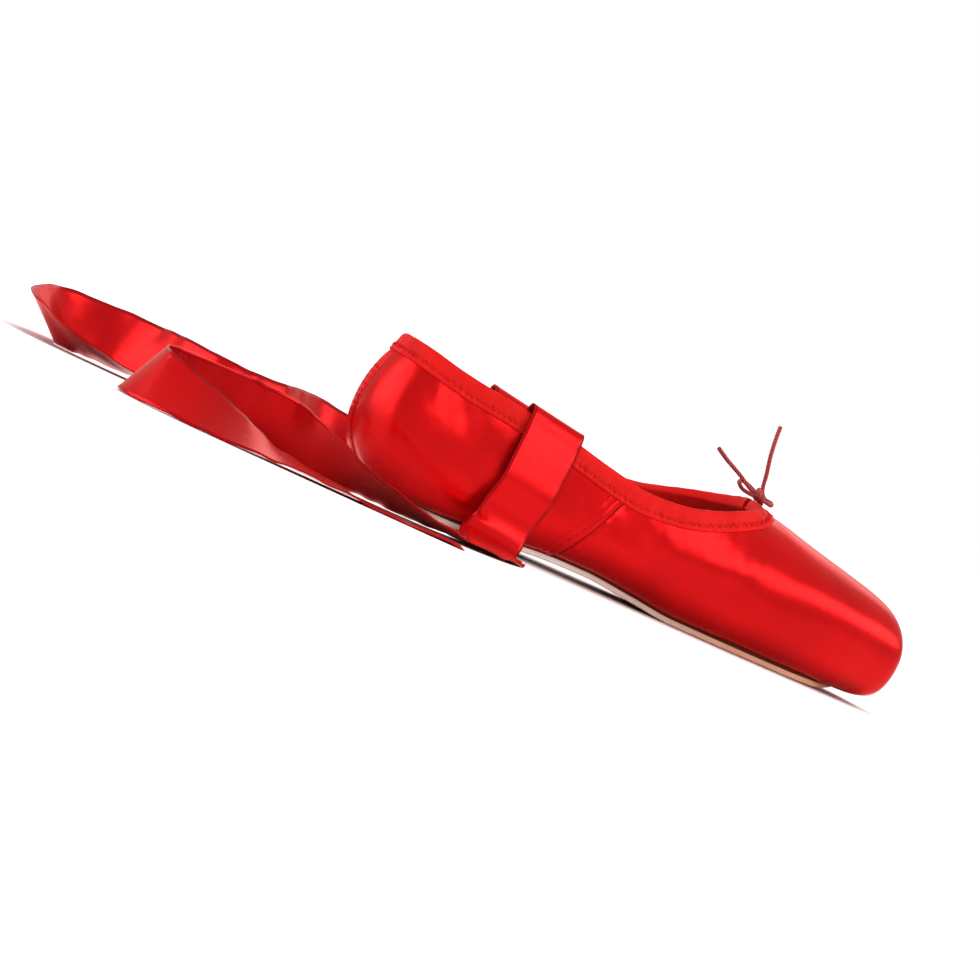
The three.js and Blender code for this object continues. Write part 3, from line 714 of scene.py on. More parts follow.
def mesh_from(
    name: str, points: np.ndarray, faces: np.ndarray, uvs: np.ndarray | None = None
) -> bpy.types.Object:
    """Makes a smooth mesh object from points in millimetres.

    Args:
        name: The piece's name.
        points: Points, one row each.
        faces: Corner indices, one row for each face.
        uvs: A place on the cloth for each point, in millimetres.

    Returns:
        The new object, in the scene.
    """
    mesh = bpy.data.meshes.new(name)
    mesh.from_pydata((points * MM).tolist(), [], faces.tolist())
    if uvs is not None:
        layer = mesh.uv_layers.new(name="cloth")
        corners = np.array([loop.vertex_index for loop in mesh.loops])
        layer.data.foreach_set("uv", uvs[corners].astype(np.float32).ravel())
    mesh.polygons.foreach_set("use_smooth", [True] * len(mesh.polygons))
    mesh.update()
    piece = bpy.data.objects.new(name, mesh)
    bpy.context.scene.collection.objects.link(piece)
    return piece


def grid_faces(rows: int, columns: int, wrap: bool = False) -> np.ndarray:
    """Quads over a grid of points.

    Args:
        rows: Points along.
        columns: Points across.
        wrap: Whether the last column joins the first.

    Returns:
        Corner indices, one row for each quad.
    """
    quads = np.arange(columns if wrap else columns - 1)
    i, j = np.meshgrid(np.arange(rows - 1), quads, indexing="ij")
    k = (j + 1) % columns
    corners = [i * columns + j, i * columns + k, (i + 1) * columns + k, (i + 1) * columns + j]
    return np.stack([c.ravel() for c in corners], axis=1)


def arc_lengths(points: np.ndarray, axis: int) -> np.ndarray:
    """Running lengths along one axis of a grid of points.

    Args:
        points: Points as rows by columns by 3.
        axis: 0 to run along the rows, 1 across the columns.

    Returns:
        The length at each point.
    """
    step = np.linalg.norm(np.diff(points, axis=axis), axis=2)
    start = np.zeros_like(np.take(step, [0], axis=axis))
    return np.concatenate([start, np.cumsum(step, axis=axis)], axis=axis)


def grid_piece(
    name: str,
    points: np.ndarray,
    wrap: bool = False,
    caps: bool = False,
    cloth: np.ndarray | None = None,
) -> bpy.types.Object:
    """Makes a piece from a grid of points, joined where they meet.

    Args:
        name: The piece's name.
        points: Points as rows by columns by 3.
        wrap: Whether the last column joins the first.
        caps: Whether the first and last rows are closed by a face.
        cloth: A place on the cloth for each point; without it, lengths over the grid.

    Returns:
        The new object.
    """
    rows, columns = points.shape[:2]
    if cloth is None:
        middle = columns // 2
        along = arc_lengths(points[:, middle : middle + 1], 0)
        across = arc_lengths(points, 1)
        spread = across - across[:, middle : middle + 1]
        cloth = np.stack(np.broadcast_arrays(along, spread), axis=2)
    faces = grid_faces(rows, columns, wrap)
    piece = mesh_from(name, points.reshape(-1, 3), faces, cloth.reshape(-1, 2))
    edit = bmesh.new()
    edit.from_mesh(piece.data)
    if caps:
        edit.verts.ensure_lookup_table()
        edit.faces.new([edit.verts[k] for k in range(columns)][::-1])
        edit.faces.new([edit.verts[(rows - 1) * columns + k] for k in range(columns)])
    bmesh.ops.remove_doubles(edit, verts=edit.verts, dist=JOIN * MM)
    bmesh.ops.recalc_face_normals(edit, faces=edit.faces)
    edit.to_mesh(piece.data)
    edit.free()
    return piece


def ring_grid(x: np.ndarray, ring: Sequence[Grids]) -> np.ndarray:
    """A grid of stations along the shoe by places round it.

    Args:
        x: Where the stations are.
        ring: The y and height of each place round, at every station.

    Returns:
        Points as stations by places by 3.
    """
    columns = [np.stack([x, y, np.broadcast_to(z, x.shape)], axis=1) for y, z in ring]
    return np.stack(columns, axis=1)


def tube_points(path: np.ndarray, radius: float, sides: int = 8) -> np.ndarray:
    """A round tube's grid of points along a path.

    Args:
        path: Points on its middle line.
        radius: Its radius.
        sides: Points round it.

    Returns:
        Points as rows by sides by 3.
    """
    heading = np.gradient(path, axis=0)
    heading /= np.maximum(np.linalg.norm(heading, axis=1, keepdims=True), 1e-9)
    side = np.cross(heading[0], [0.31, 0.27, 0.91])
    turn = np.linspace(0.0, TAU, sides, endpoint=False)[:, None]
    rings = []
    for place, ahead in zip(path, heading):
        side = side - ahead * float(side @ ahead)
        side /= np.linalg.norm(side)
        third = np.cross(ahead, side)
        rings.append(place + radius * (np.cos(turn) * side + np.sin(turn) * third))
    return np.array(rings)


def joined_tubes(
    name: str, paths: Sequence[np.ndarray], radius: float, sides: int = 6
) -> bpy.types.Object:
    """Makes one piece of many short threads.

    Args:
        name: The piece's name.
        paths: The middle line of each thread.
        radius: The thread's radius.
        sides: Points round it.

    Returns:
        The new object.
    """
    points, faces, uvs, start = [], [], [], 0
    for path in paths:
        grid = tube_points(path, radius, sides)
        for end in (0, -1):
            grid[end] = path[end] + THREAD_TAPER * (grid[end] - path[end])
        rows = len(path)
        along = np.repeat(np.arange(rows) * 0.5, sides)
        around = np.tile(np.arange(sides) * 0.2, rows)
        points.append(grid.reshape(-1, 3))
        uvs.append(np.stack([along, around], axis=1))
        faces.append(grid_faces(rows, sides, wrap=True) + start)
        start += rows * sides
    return mesh_from(name, np.vstack(points), np.vstack(faces), np.vstack(uvs))


class Nodes:
    """A short way to write a material's nodes."""

    def __init__(self, name: str) -> None:
        """Starts an empty material.

        Args:
            name: The finish's name.
        """
        self.material = bpy.data.materials.new(name)
        self.material.use_nodes = True
        self.tree = self.material.node_tree
        self.shader = self.tree.nodes["Principled BSDF"]

    def add(
        self, kind: str, inputs: dict[str | int, object] | None = None, **settings: object
    ) -> bpy.types.Node:
        """Adds a node.

        Args:
            kind: Blender's type name of the node, without its ShaderNode part.
            inputs: Values or output sockets for its inputs.
            settings: The node's own settings.

        Returns:
            The node.
        """
        node = self.tree.nodes.new("ShaderNode" + kind)
        for key, value in settings.items():
            setattr(node, key, value)
        for key, value in (inputs or {}).items():
            self.feed(node.inputs[key], value)
        return node

    def feed(self, socket: bpy.types.NodeSocket, value: object) -> None:
        """Links an output to a socket, or sets the socket's own value.

        Args:
            socket: The input to feed.
            value: An output socket, or a plain number or colour.
        """
        if isinstance(value, bpy.types.NodeSocket):
            self.tree.links.new(value, socket)
        else:
            socket.default_value = value

    def shade(self, values: dict[str, object]) -> bpy.types.Material:
        """Feeds the shader's own inputs.

        Args:
            values: A value or an output socket for each input.

        Returns:
            The finished material.
        """
        for name, value in values.items():
            self.feed(self.shader.inputs[name], value)
        return self.material

    def place(self) -> bpy.types.NodeSocket:
        """Object coordinates in metres."""
        return self.add("TexCoord").outputs["Object"]

    def cloth(self) -> bpy.types.NodeSocket:
        """The place on the cloth in millimetres: along, across."""
        return self.add("UVMap", uv_map="cloth").outputs["UV"]

    def split(self, vector: bpy.types.NodeSocket) -> Sequence[bpy.types.NodeSocket]:
        """A vector's three numbers."""
        return self.add("SeparateXYZ", {0: vector}).outputs

    def stretched(self, vector: bpy.types.NodeSocket, scale: Point) -> bpy.types.NodeSocket:
        """Scales a coordinate."""
        return self.add("Mapping", {"Vector": vector, "Scale": scale}).outputs["Vector"]

    def noise(
        self, vector: bpy.types.NodeSocket, scale: float, detail: float = 2.0
    ) -> bpy.types.NodeSocket:
        """A noise value from 0 to 1."""
        inputs = {"Vector": vector, "Scale": scale, "Detail": detail}
        return self.add("TexNoise", inputs).outputs["Fac"]

    def math(
        self, operation: str, a: object, b: object = 0.0, c: object = 0.0
    ) -> bpy.types.NodeSocket:
        """The result of a sum on up to three values."""
        return self.add("Math", {0: a, 1: b, 2: c}, operation=operation).outputs[0]

    def between(
        self,
        value: bpy.types.NodeSocket,
        low: float,
        high: float,
        to_low: float = 0.0,
        to_high: float = 1.0,
    ) -> bpy.types.NodeSocket:
        """Maps a value's range to another, clamped.

        Args:
            value: The value.
            low: Where its range starts.
            high: Where it ends; it may be below low.
            to_low: What low becomes.
            to_high: What high becomes.

        Returns:
            The mapped value.
        """
        inputs = {"Value": value, "From Min": low, "From Max": high}
        inputs |= {"To Min": to_low, "To Max": to_high}
        return self.add("MapRange", inputs).outputs["Result"]

    def mix(self, share: object, first: object, second: object) -> bpy.types.NodeSocket:
        """Mixes two colours.

        Args:
            share: The second colour's share.
            first: The colour at 0.
            second: The colour at 1.

        Returns:
            The mixed colour.
        """
        node = self.add("Mix", data_type="RGBA")
        for socket, value in zip((0, 6, 7), (share, first, second)):
            self.feed(node.inputs[socket], value)
        return node.outputs[2]

    def bump(
        self, height: object, distance: float, strength: float, below: object = None
    ) -> bpy.types.NodeSocket:
        """Bumps the surface.

        Args:
            height: The height's share of the distance.
            distance: The bump's depth in metres.
            strength: How strongly it shows.
            below: Another bump that it lies on.

        Returns:
            The bumped normal.
        """
        inputs = {"Height": height, "Distance": distance, "Strength": strength}
        if below is not None:
            inputs["Normal"] = below
        return self.add("Bump", inputs).outputs["Normal"]


def rgb(red: float, green: float, blue: float) -> Colour:
    """A colour given as screen values from 0 to 255, as the shader wants it."""
    shares = [c / 255.0 for c in (red, green, blue)]
    return (*[c / 12.92 if c <= 0.04045 else ((c + 0.055) / 1.055) ** 2.4 for c in shares], 1.0)


@dataclass(frozen=True)
class Satin:
    """Woven satin: a glossy face whose highlight follows its threads."""

    name: str
    colour: Colour
    deep: Colour
    # The colour of the painted shade along the seams' lapped edges.
    line: Colour = rgb(96, 0, 4)
    metallic: float = 0.6
    roughness: float = 0.25
    edge: float = 0.0
    seam: tuple[float, float] | None = None
    heel: tuple[float, float] | None = None
    patches: float = 22.0
    warp: Point = (0.2, 4.6, 1.0)
    weft: Point = (3.2, 0.5, 1.0)
    thread_depth: float = 0.000025
    slack_depth: float = 0.0012
    tint: Colour = (1.0, 0.5, 0.47, 1.0)
    sheen: Colour = (1.0, 0.55, 0.5, 1.0)

    def seams(self, n: Nodes, place: bpy.types.NodeSocket) -> bpy.types.NodeSocket:
        """Where painted shade darkens the satin: along the side seams' lapped edge and both edges
        of the back seam, where the laps cast shade.

        Args:
            n: The material being made.
            place: The point in metres.

        Returns:
            The share of the painted shade's colour.
        """
        x, y, z = n.split(place)
        foot, lean = self.seam
        behind = n.math("SUBTRACT", n.math("MULTIPLY_ADD", z, lean, foot), x)
        off = n.math("ABSOLUTE", n.math("ADD", behind, 0.0005))
        side = n.between(off, 0.0001, 0.0006, 0.8, 0.0)
        ahead, half = self.heel
        off = n.math("ABSOLUTE", n.math("SUBTRACT", n.math("ABSOLUTE", y), half))
        edges = n.between(off, 0.0001, 0.0004, 0.7, 0.0)
        back = n.math("MULTIPLY", edges, n.between(x, ahead, ahead - 0.01))
        return n.math("MAXIMUM", side, back)

    def material(self) -> bpy.types.Material:
        """Makes the satin's material.

        Returns:
            The material.
        """
        n = Nodes(self.name)
        place, cloth = n.place(), n.cloth()
        broad = n.noise(place, self.patches)
        threads = n.noise(n.stretched(cloth, self.warp), 1.0, 3.0)
        picks = n.noise(n.stretched(cloth, self.weft), 1.0)
        colour = n.mix(n.between(broad, 0.35, 0.68, 0.0, 0.55), self.colour, self.deep)
        colour = n.mix(n.between(threads, 0.3, 0.75, 0.0, 0.07), colour, self.deep)
        if self.edge:
            across = n.math("ABSOLUTE", n.split(cloth)[1])
            woven = n.between(across, self.edge - 1.4, self.edge - 1.0, 0.0, 0.62)
            colour = n.mix(woven, colour, self.deep)
        if self.seam:
            # Painted shade along the seams' lapped edges.
            colour = n.mix(self.seams(n, place), colour, self.line)
        grain = n.between(threads, 0.2, 0.8, self.roughness - 0.015, self.roughness + 0.025)
        soft = n.bump(n.noise(place, 5.0 * self.patches), self.slack_depth, 0.12)
        weave = n.math("ADD", threads, n.math("MULTIPLY", picks, 0.4))
        tangent = n.add("Tangent", direction_type="UV_MAP", uv_map="cloth")
        return n.shade(
            {
                "Base Color": colour,
                "Metallic": self.metallic,
                "Roughness": n.math("ADD", grain, n.between(broad, 0.3, 0.7, -0.02, 0.03)),
                "Normal": n.bump(weave, self.thread_depth, 0.16, soft),
                "Tangent": tangent.outputs[0],
                "Anisotropic": 0.4,
                "Specular IOR Level": 0.3,
                "Specular Tint": self.tint,
                "Sheen Weight": 0.04,
                "Sheen Roughness": 0.35,
                "Sheen Tint": self.sheen,
            }
        )


@dataclass(frozen=True)
class Woven:
    """Plain cloth or thread with little gloss: the binding tape, the canvas and the stitches."""

    name: str
    colour: Colour
    deep: Colour
    pitch: float
    roughness: float = 0.6
    relief: float = 0.12
    wear: float = 90.0

    def material(self) -> bpy.types.Material:
        """Makes the cloth's material.

        Returns:
            The material.
        """
        n = Nodes(self.name)
        worn = n.noise(n.place(), self.wear, 4.0)
        along, across, _ = n.split(n.cloth())
        warp, weft = (
            n.math("SINE", n.math("MULTIPLY", way, TAU / self.pitch)) for way in (along, across)
        )
        weave = n.math("MULTIPLY", warp, weft)
        colour = n.mix(n.between(worn, 0.35, 0.7, 0.0, 0.5), self.colour, self.deep)
        rough = (self.roughness - 0.06, self.roughness + 0.08)
        return n.shade(
            {
                "Base Color": n.mix(n.between(weave, -1.0, 1.0, 0.22, 0.0), colour, self.deep),
                "Roughness": n.between(worn, 0.3, 0.7, *rough),
                "Normal": n.bump(weave, self.relief * MM, 0.5, n.bump(worn, 0.0007, 0.3)),
                "Specular IOR Level": 0.12,
                "Sheen Weight": 0.0,
            }
        )


@dataclass(frozen=True)
class SoleLeather:
    """Buffed leather, more scuffed under the ball; its paler heel is painted light and its tan ball
    painted shade.
    """

    name: str = "sole_leather"
    # Pale and tan are one leather: paler at the heel as painted light, tan at the ball as painted
    # shade.
    pale: Colour = rgb(238, 226, 214)
    tan: Colour = rgb(216, 158, 128)
    dark: Colour = rgb(96, 62, 46)
    scuffs: float = 0.32
    scuff_scale: Point = (60.0, 900.0, 60.0)
    light_to_shade_span: tuple[float, float] = (-0.03, 0.05)
    mottling: float = 60.0
    fibres: float = 700.0
    pores: float = 1300.0

    def material(self) -> bpy.types.Material:
        """Makes the leather's material.

        Returns:
            The material.
        """
        n = Nodes(self.name)
        place = n.place()
        x, _, z = n.split(place)
        # Painted light and shade: paler towards the heel, tan towards the ball.
        colour = n.mix(n.between(x, *self.light_to_shade_span), self.pale, self.tan)
        mottled = n.noise(place, self.mottling, 5.0)
        colour = n.mix(n.between(mottled, 0.45, 0.8, 0.0, 0.3), colour, self.dark)
        scratches = n.noise(n.stretched(place, self.scuff_scale), 1.0, 3.0)
        scratched = n.between(scratches, 0.55, 0.75, 0.0, self.scuffs)
        underneath = n.between(z, 0.0004, 0.0)
        colour = n.mix(n.math("MULTIPLY", scratched, underneath), colour, self.dark)
        pores = n.add("TexVoronoi", {"Vector": place, "Scale": self.pores}).outputs["Distance"]
        grain = n.bump(pores, 0.00012, 0.5)
        return n.shade(
            {
                "Base Color": colour,
                "Roughness": n.between(mottled, 0.3, 0.8, 0.68, 0.9),
                "Normal": n.bump(n.noise(place, self.fibres, 4.0), 0.0002, 0.4, grain),
                "Specular IOR Level": 0.25,
            }
        )


@dataclass(frozen=True)
class Braid:
    """Thin braided elastic with a few lighter strands."""

    name: str = "elastic_braid"
    colour: Colour = rgb(168, 8, 18)
    strand: Colour = rgb(238, 120, 118)
    dark: Colour = rgb(104, 3, 10)
    along: float = 4.2
    around: float = 5.0

    def material(self) -> bpy.types.Material:
        """Makes the braid's material.

        Returns:
            The material.
        """
        n = Nodes(self.name)
        along, around, _ = n.split(n.cloth())
        along = n.math("MULTIPLY", along, self.along)
        around = n.math("MULTIPLY", around, self.around)
        left, right = (n.math("SINE", n.math(way, along, around)) for way in ("ADD", "SUBTRACT"))
        braid = n.math("MAXIMUM", left, right)
        colour = n.mix(n.between(braid, 0.2, 0.9), self.dark, self.colour)
        return n.shade(
            {
                "Base Color": n.mix(n.between(right, 0.86, 0.97, 0.0, 0.6), colour, self.strand),
                "Roughness": 0.5,
                "Normal": n.bump(braid, 0.00012, 0.7),
                "Specular IOR Level": 0.35,
            }
        )


@dataclass
class Finishes:
    """Every finish on the shoe, made once."""

    satin: Satin
    ribbon: Satin = Satin("ribbon_satin", rgb(204, 9, 14), rgb(146, 3, 8), edge=11.0)
    tape: Woven = Woven("binding_tape", rgb(208, 14, 8), rgb(176, 5, 5), 0.7, 0.6, 0.05)
    canvas: Woven = Woven("lining_canvas", rgb(232, 222, 204), rgb(196, 182, 160), 0.9, 0.85)
    thread: Woven = Woven("sewing_thread", rgb(202, 16, 14), rgb(166, 8, 8), 0.5, 0.6, 0.04)
    leather: SoleLeather = SoleLeather()
    # The dark line between outsole and satin: its glued edge, darkened further as painted shade of
    # the undercut.
    glue_and_shade: SoleLeather = SoleLeather("glued_edge_and_shade", rgb(92, 40, 26), rgb(78, 28, 18))
    braid: Braid = Braid()
    made: dict[str, bpy.types.Material] = field(default_factory=dict)

    def dress(self, piece: bpy.types.Object, finish: str, slot: str) -> bpy.types.Object:
        """Gives a piece one of the finishes.

        Args:
            piece: The piece to dress.
            finish: The finish's field name.
            slot: Not used.

        Returns:
            The same piece, riding on the shoe's body.
        """
        if finish not in self.made:
            self.made[finish] = getattr(self, finish).material()
        piece.data.materials.clear()
        piece.data.materials.append(self.made[finish])
        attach(piece, BODY)
        LOG.info("%s: %d faces", piece.name, len(piece.data.polygons))
        return piece


@dataclass
class Surface:
    """The dressed form's outer face, for whatever is sewn on it."""

    last: Last
    tree: BVHTree = field(init=False)
    rows: int = 300
    columns: int = 90
    middle_height: float = 22.0
    ends_from: float = 100.0

    def __post_init__(self) -> None:
        """Builds the search tree over the uncut satin."""
        points = self.last.skin(self.rows, self.columns, open_collar=False)
        faces = grid_faces(points.shape[0], points.shape[1])
        self.tree = BVHTree.FromPolygons(points.reshape(-1, 3).tolist(), faces.tolist())

    def near(self, point: Sequence[float]) -> Grids:
        """Finds the nearest place on the satin.

        Args:
            point: Any point.

        Returns:
            The place and its outward normal.
        """
        place, normal, _, _ = self.tree.find_nearest(Vector(point))
        normal = np.array(normal)
        outward = np.array([0.0, place.y, place.z - self.middle_height])
        if abs(place.x) > self.ends_from:
            outward = np.array([place.x, 0.0, 0.0])
        return np.array(place), normal if float(normal @ outward) > 0 else -normal


@dataclass
class Upper:
    """The satin upper with its lining and seam stitching."""

    last: Last
    surface: Surface
    finishes: Finishes
    rows: int = 520
    columns: int = 100
    lining_rows: int = 320
    lining_columns: int = 60
    stitch: float = 2.0
    stitch_gap: float = 0.8
    stitch_rise: tuple[float, ...] = (-0.25, 0.1, 0.16, 0.1, -0.25)
    side_rows_top: float = 36.0
    back_rows_span: tuple[float, float] = (9.0, 47.0)
    beside_back_seam: float = 1.1
    thread: float = 0.2

    def build(self) -> None:
        """Builds the satin, the lining and the seams' stitches."""
        satin = grid_piece("upper_satin", self.last.skin(self.rows, self.columns))
        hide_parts("upper")
        self.finishes.dress(satin, "satin", "satin")
        inner = self.last.lining(self.lining_rows, self.lining_columns)
        lining = grid_piece("upper_lining", inner)
        lining.data.flip_normals()
        self.finishes.dress(lining, "canvas", "lining")
        for side in Side:
            name = f"side_seam_stitches_{side.name.lower()}"
            stitches = joined_tubes(name, self.side_stitches(side), self.thread)
            self.finishes.dress(stitches, "thread", "satin")
        back = joined_tubes("back_seam_stitches", self.back_stitches(), 0.7 * self.thread)
        self.finishes.dress(back, "thread", "satin")

    def on_satin(
        self, line: Callable[[float], Point], low: float, high: float
    ) -> list[np.ndarray]:
        """Short threads along a line on the satin.

        Args:
            line: Gives a rough point for a height.
            low: The lowest height.
            high: The highest height.

        Returns:
            The middle line of each thread.
        """
        threads = []
        height = low
        while height + self.stitch < high:
            path = []
            for k, rise in enumerate(self.stitch_rise):
                place, normal = self.surface.near(line(height + self.stitch * k / 4))
                path.append(place + rise * normal)
            threads.append(np.array(path))
            height += self.stitch + self.stitch_gap
        return threads

    def side_stitches(self, side: Side) -> list[np.ndarray]:
        """Both rows of stitches behind a side seam's edge.

        Args:
            side: The side of the shoe.

        Returns:
            The middle line of each thread.
        """
        s = self.last.sizes
        threads = []
        for behind in s.stitch_rows:

            def line(height: float, behind: float = behind) -> Point:
                """A point of the row.

                Args:
                    height: Its height.
                    behind: How far the row is behind the seam's edge.

                Returns:
                    The point on the plain form.
                """
                x = s.seam_foot + height * s.seam_slope - behind
                reach = self.last.side_at(float(self.last.share_of(x)), height)
                return x, side.value * reach, height

            threads += self.on_satin(line, s.sole_top + 2.0, self.side_rows_top)
        return threads

    def back_stitches(self) -> list[np.ndarray]:
        """Two rows of stitches beside the back seam.

        Returns:
            The middle line of each thread.
        """
        s = self.last.sizes
        threads = []
        for side in Side:
            y = side.value * (s.back_seam_width / 2 + self.beside_back_seam)
            threads += self.on_satin(
                lambda height, y=y: (s.heel_x - 4.0, y, height), *self.back_rows_span
            )
        return threads


@dataclass
class Binding:
    """The folded tape round the collar and the zigzag that holds it."""

    last: Last
    surface: Surface
    finishes: Finishes
    samples: int = 900
    leg: int = 12
    gap: float = 0.5
    edge_samples: int = 20001
    edge_from: float = 0.02
    stitch_pitch: float = 1.15
    stitch_ends: float = 4.0
    stitch_depths: tuple[float, float] = (1.3, 3.1)
    thread: float = 0.15

    def edge(self) -> np.ndarray:
        """The collar's edge, from the throat along the near side and back on the far side.

        Returns:
            Points at even distances.
        """
        shares = np.linspace(0.0, self.last.sizes.throat_at + 0.004, self.edge_samples)
        values = self.last.values(shares)
        collar = self.last.collar_height(shares)
        lift = (collar - values[:, 4]) / np.maximum(values[:, 5] - values[:, 4], TINY)
        inside = (lift < 1.0) & (shares > self.edge_from)
        shares, values, lift = shares[inside], values[inside], lift[inside]
        power = values[:, 7]
        y = values[:, 1] * (1 - lift**power) ** (1 / power)
        half = np.stack([self.last.x_of(shares), y, collar[inside]], axis=1)
        line = np.vstack([half[::-1] * [1, -1, 1], half])
        run = running_length(line)
        line = pick(np.linspace(0.0, run[-1], self.samples), run, line)
        soften(line, 6)
        return line

    def legs(self) -> tuple[np.ndarray, np.ndarray, np.ndarray]:
        """Walks down the satin from the edge, square to it.

        Returns:
            The walked points, the normals there, and the distances walked.
        """
        line = self.edge()
        heading = np.gradient(line, axis=0)
        step = (self.last.sizes.binding_width + 1.0) / (self.leg - 1)
        places, normals = [], []
        for point, ahead in zip(line, heading):
            place, normal = self.surface.near(point)
            down = np.cross(normal, ahead)
            walk, facing = [place], [normal]
            for _ in range(self.leg - 1):
                down = down - normal * float(down @ normal)
                down /= np.linalg.norm(down)
                place, normal = self.surface.near(place + step * down)
                walk.append(place)
                facing.append(normal)
            places.append(walk)
            normals.append(facing)
        places, normals = np.array(places), np.array(normals)
        soften(places, 8)
        soften(normals, 8)
        normals /= np.linalg.norm(normals, axis=2, keepdims=True)
        return places, normals, step * np.arange(self.leg)

    def section(self) -> tuple[list[tuple[float, float]], list[tuple[float, float]]]:
        """The folded tape's section: how far down from the edge and how far out of the satin.

        Returns:
            Its outer face from the lower edge up, and its inner face down again.
        """
        width = self.last.sizes.binding_width
        outside = [(width + 0.1, -0.1), (width + 0.15, 0.45), (width - 0.15, 0.8)]
        outside += [(width - 0.9, 0.86), (width - 1.6, 0.64), (width - 2.3, 0.9)]
        outside += [(width - 3.0, 0.68), (width - 3.7, 0.98), (3.3, 1.1), (2.4, 1.3)]
        outside += [(1.6, 1.42), (0.8, 1.3), (0.2, 0.95), (-0.1, 0.35)]
        inside = [(-0.18, -0.3), (-0.1, -0.6), (0.25, -1.0), (1.0, -1.15), (2.5, -1.1)]
        inside += [(5.0, -1.05), (width - 2.0, -1.0), (width - 0.3, -0.85), (width, 0.1)]
        return outside, inside

    def build(self) -> None:
        """Builds the tape and its stitches."""
        places, normals, run = self.legs()
        outside, inside = self.section()
        section = np.array(outside + inside)
        walls = self.last.wall(self.last.share_of(places[:, 0, 0]))
        along = running_length(places[:, 0])
        grid = np.empty((len(places), len(section), 3))
        for k, (down, out) in enumerate(section):
            at = min(max(down, 0.0), float(run[-1]))
            i = min(int(at / run[1]), len(run) - 2)
            t = at / run[1] - i
            place = places[:, i] * (1 - t) + places[:, i + 1] * t
            normal = normals[:, i] * (1 - t) + normals[:, i + 1] * t
            if down < 0:
                place = place + (places[:, 0] - places[:, 1]) / run[1] * -down
            if k > len(outside):
                out = out - walls
            if k < len(outside) and out > 0.4:
                drawn = smoothstep(np.array(down), 2.0, 6.0)
                out = out + 0.16 * ripple(along, 4.6, 0.2 * down) * drawn
                out = out + 0.12 * ripple(along, 11.0, 1.1)
            grid[:, k] = place + normal * np.broadcast_to(out, len(places))[:, None]
        middle = np.abs(places[:, 0, 1]) < self.gap
        grid = grid[~(middle & (places[:, 0, 0] > 0))]
        tape = grid_piece("binding_tape", grid, caps=True)
        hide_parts("binding")
        self.finishes.dress(tape, "tape", "binding")
        threads = self.zigzag(places, normals, along, run)
        zigzag = joined_tubes("binding_zigzag", threads, self.thread, 5)
        self.finishes.dress(zigzag, "thread", "binding")

    def zigzag(
        self, places: np.ndarray, normals: np.ndarray, along: np.ndarray, run: np.ndarray
    ) -> list[np.ndarray]:
        """The zigzag's threads over the tape's lower edge.

        Args:
            places: The points walked down the satin.
            normals: The normals there.
            along: Distances along the collar.
            run: Distances walked down.

        Returns:
            The middle line of each thread.
        """
        width = self.last.sizes.binding_width
        low, high = (width - depth for depth in self.stitch_depths)
        marks = np.arange(self.stitch_ends, along[-1] - self.stitch_ends, self.stitch_pitch)
        depths = np.where(np.arange(len(marks)) % 2 == 0, low, high)
        corners = []
        for mark, depth in zip(marks, depths):
            i = int(np.searchsorted(along, mark)) - 1
            j = int(depth / run[1])
            t = depth / run[1] - j
            place = places[i, j] * (1 - t) + places[i, j + 1] * t
            corners.append((place, normals[i, j]))
        threads = []
        for (a, na), (b, nb) in zip(corners[:-1], corners[1:]):
            path = [a + 0.45 * na, a * 0.75 + b * 0.25 + 0.95 * na, (a + b) / 2 + 1.02 * na]
            path += [a * 0.25 + b * 0.75 + 0.95 * nb, b + 0.45 * nb]
            threads.append(np.array(path))
        return threads


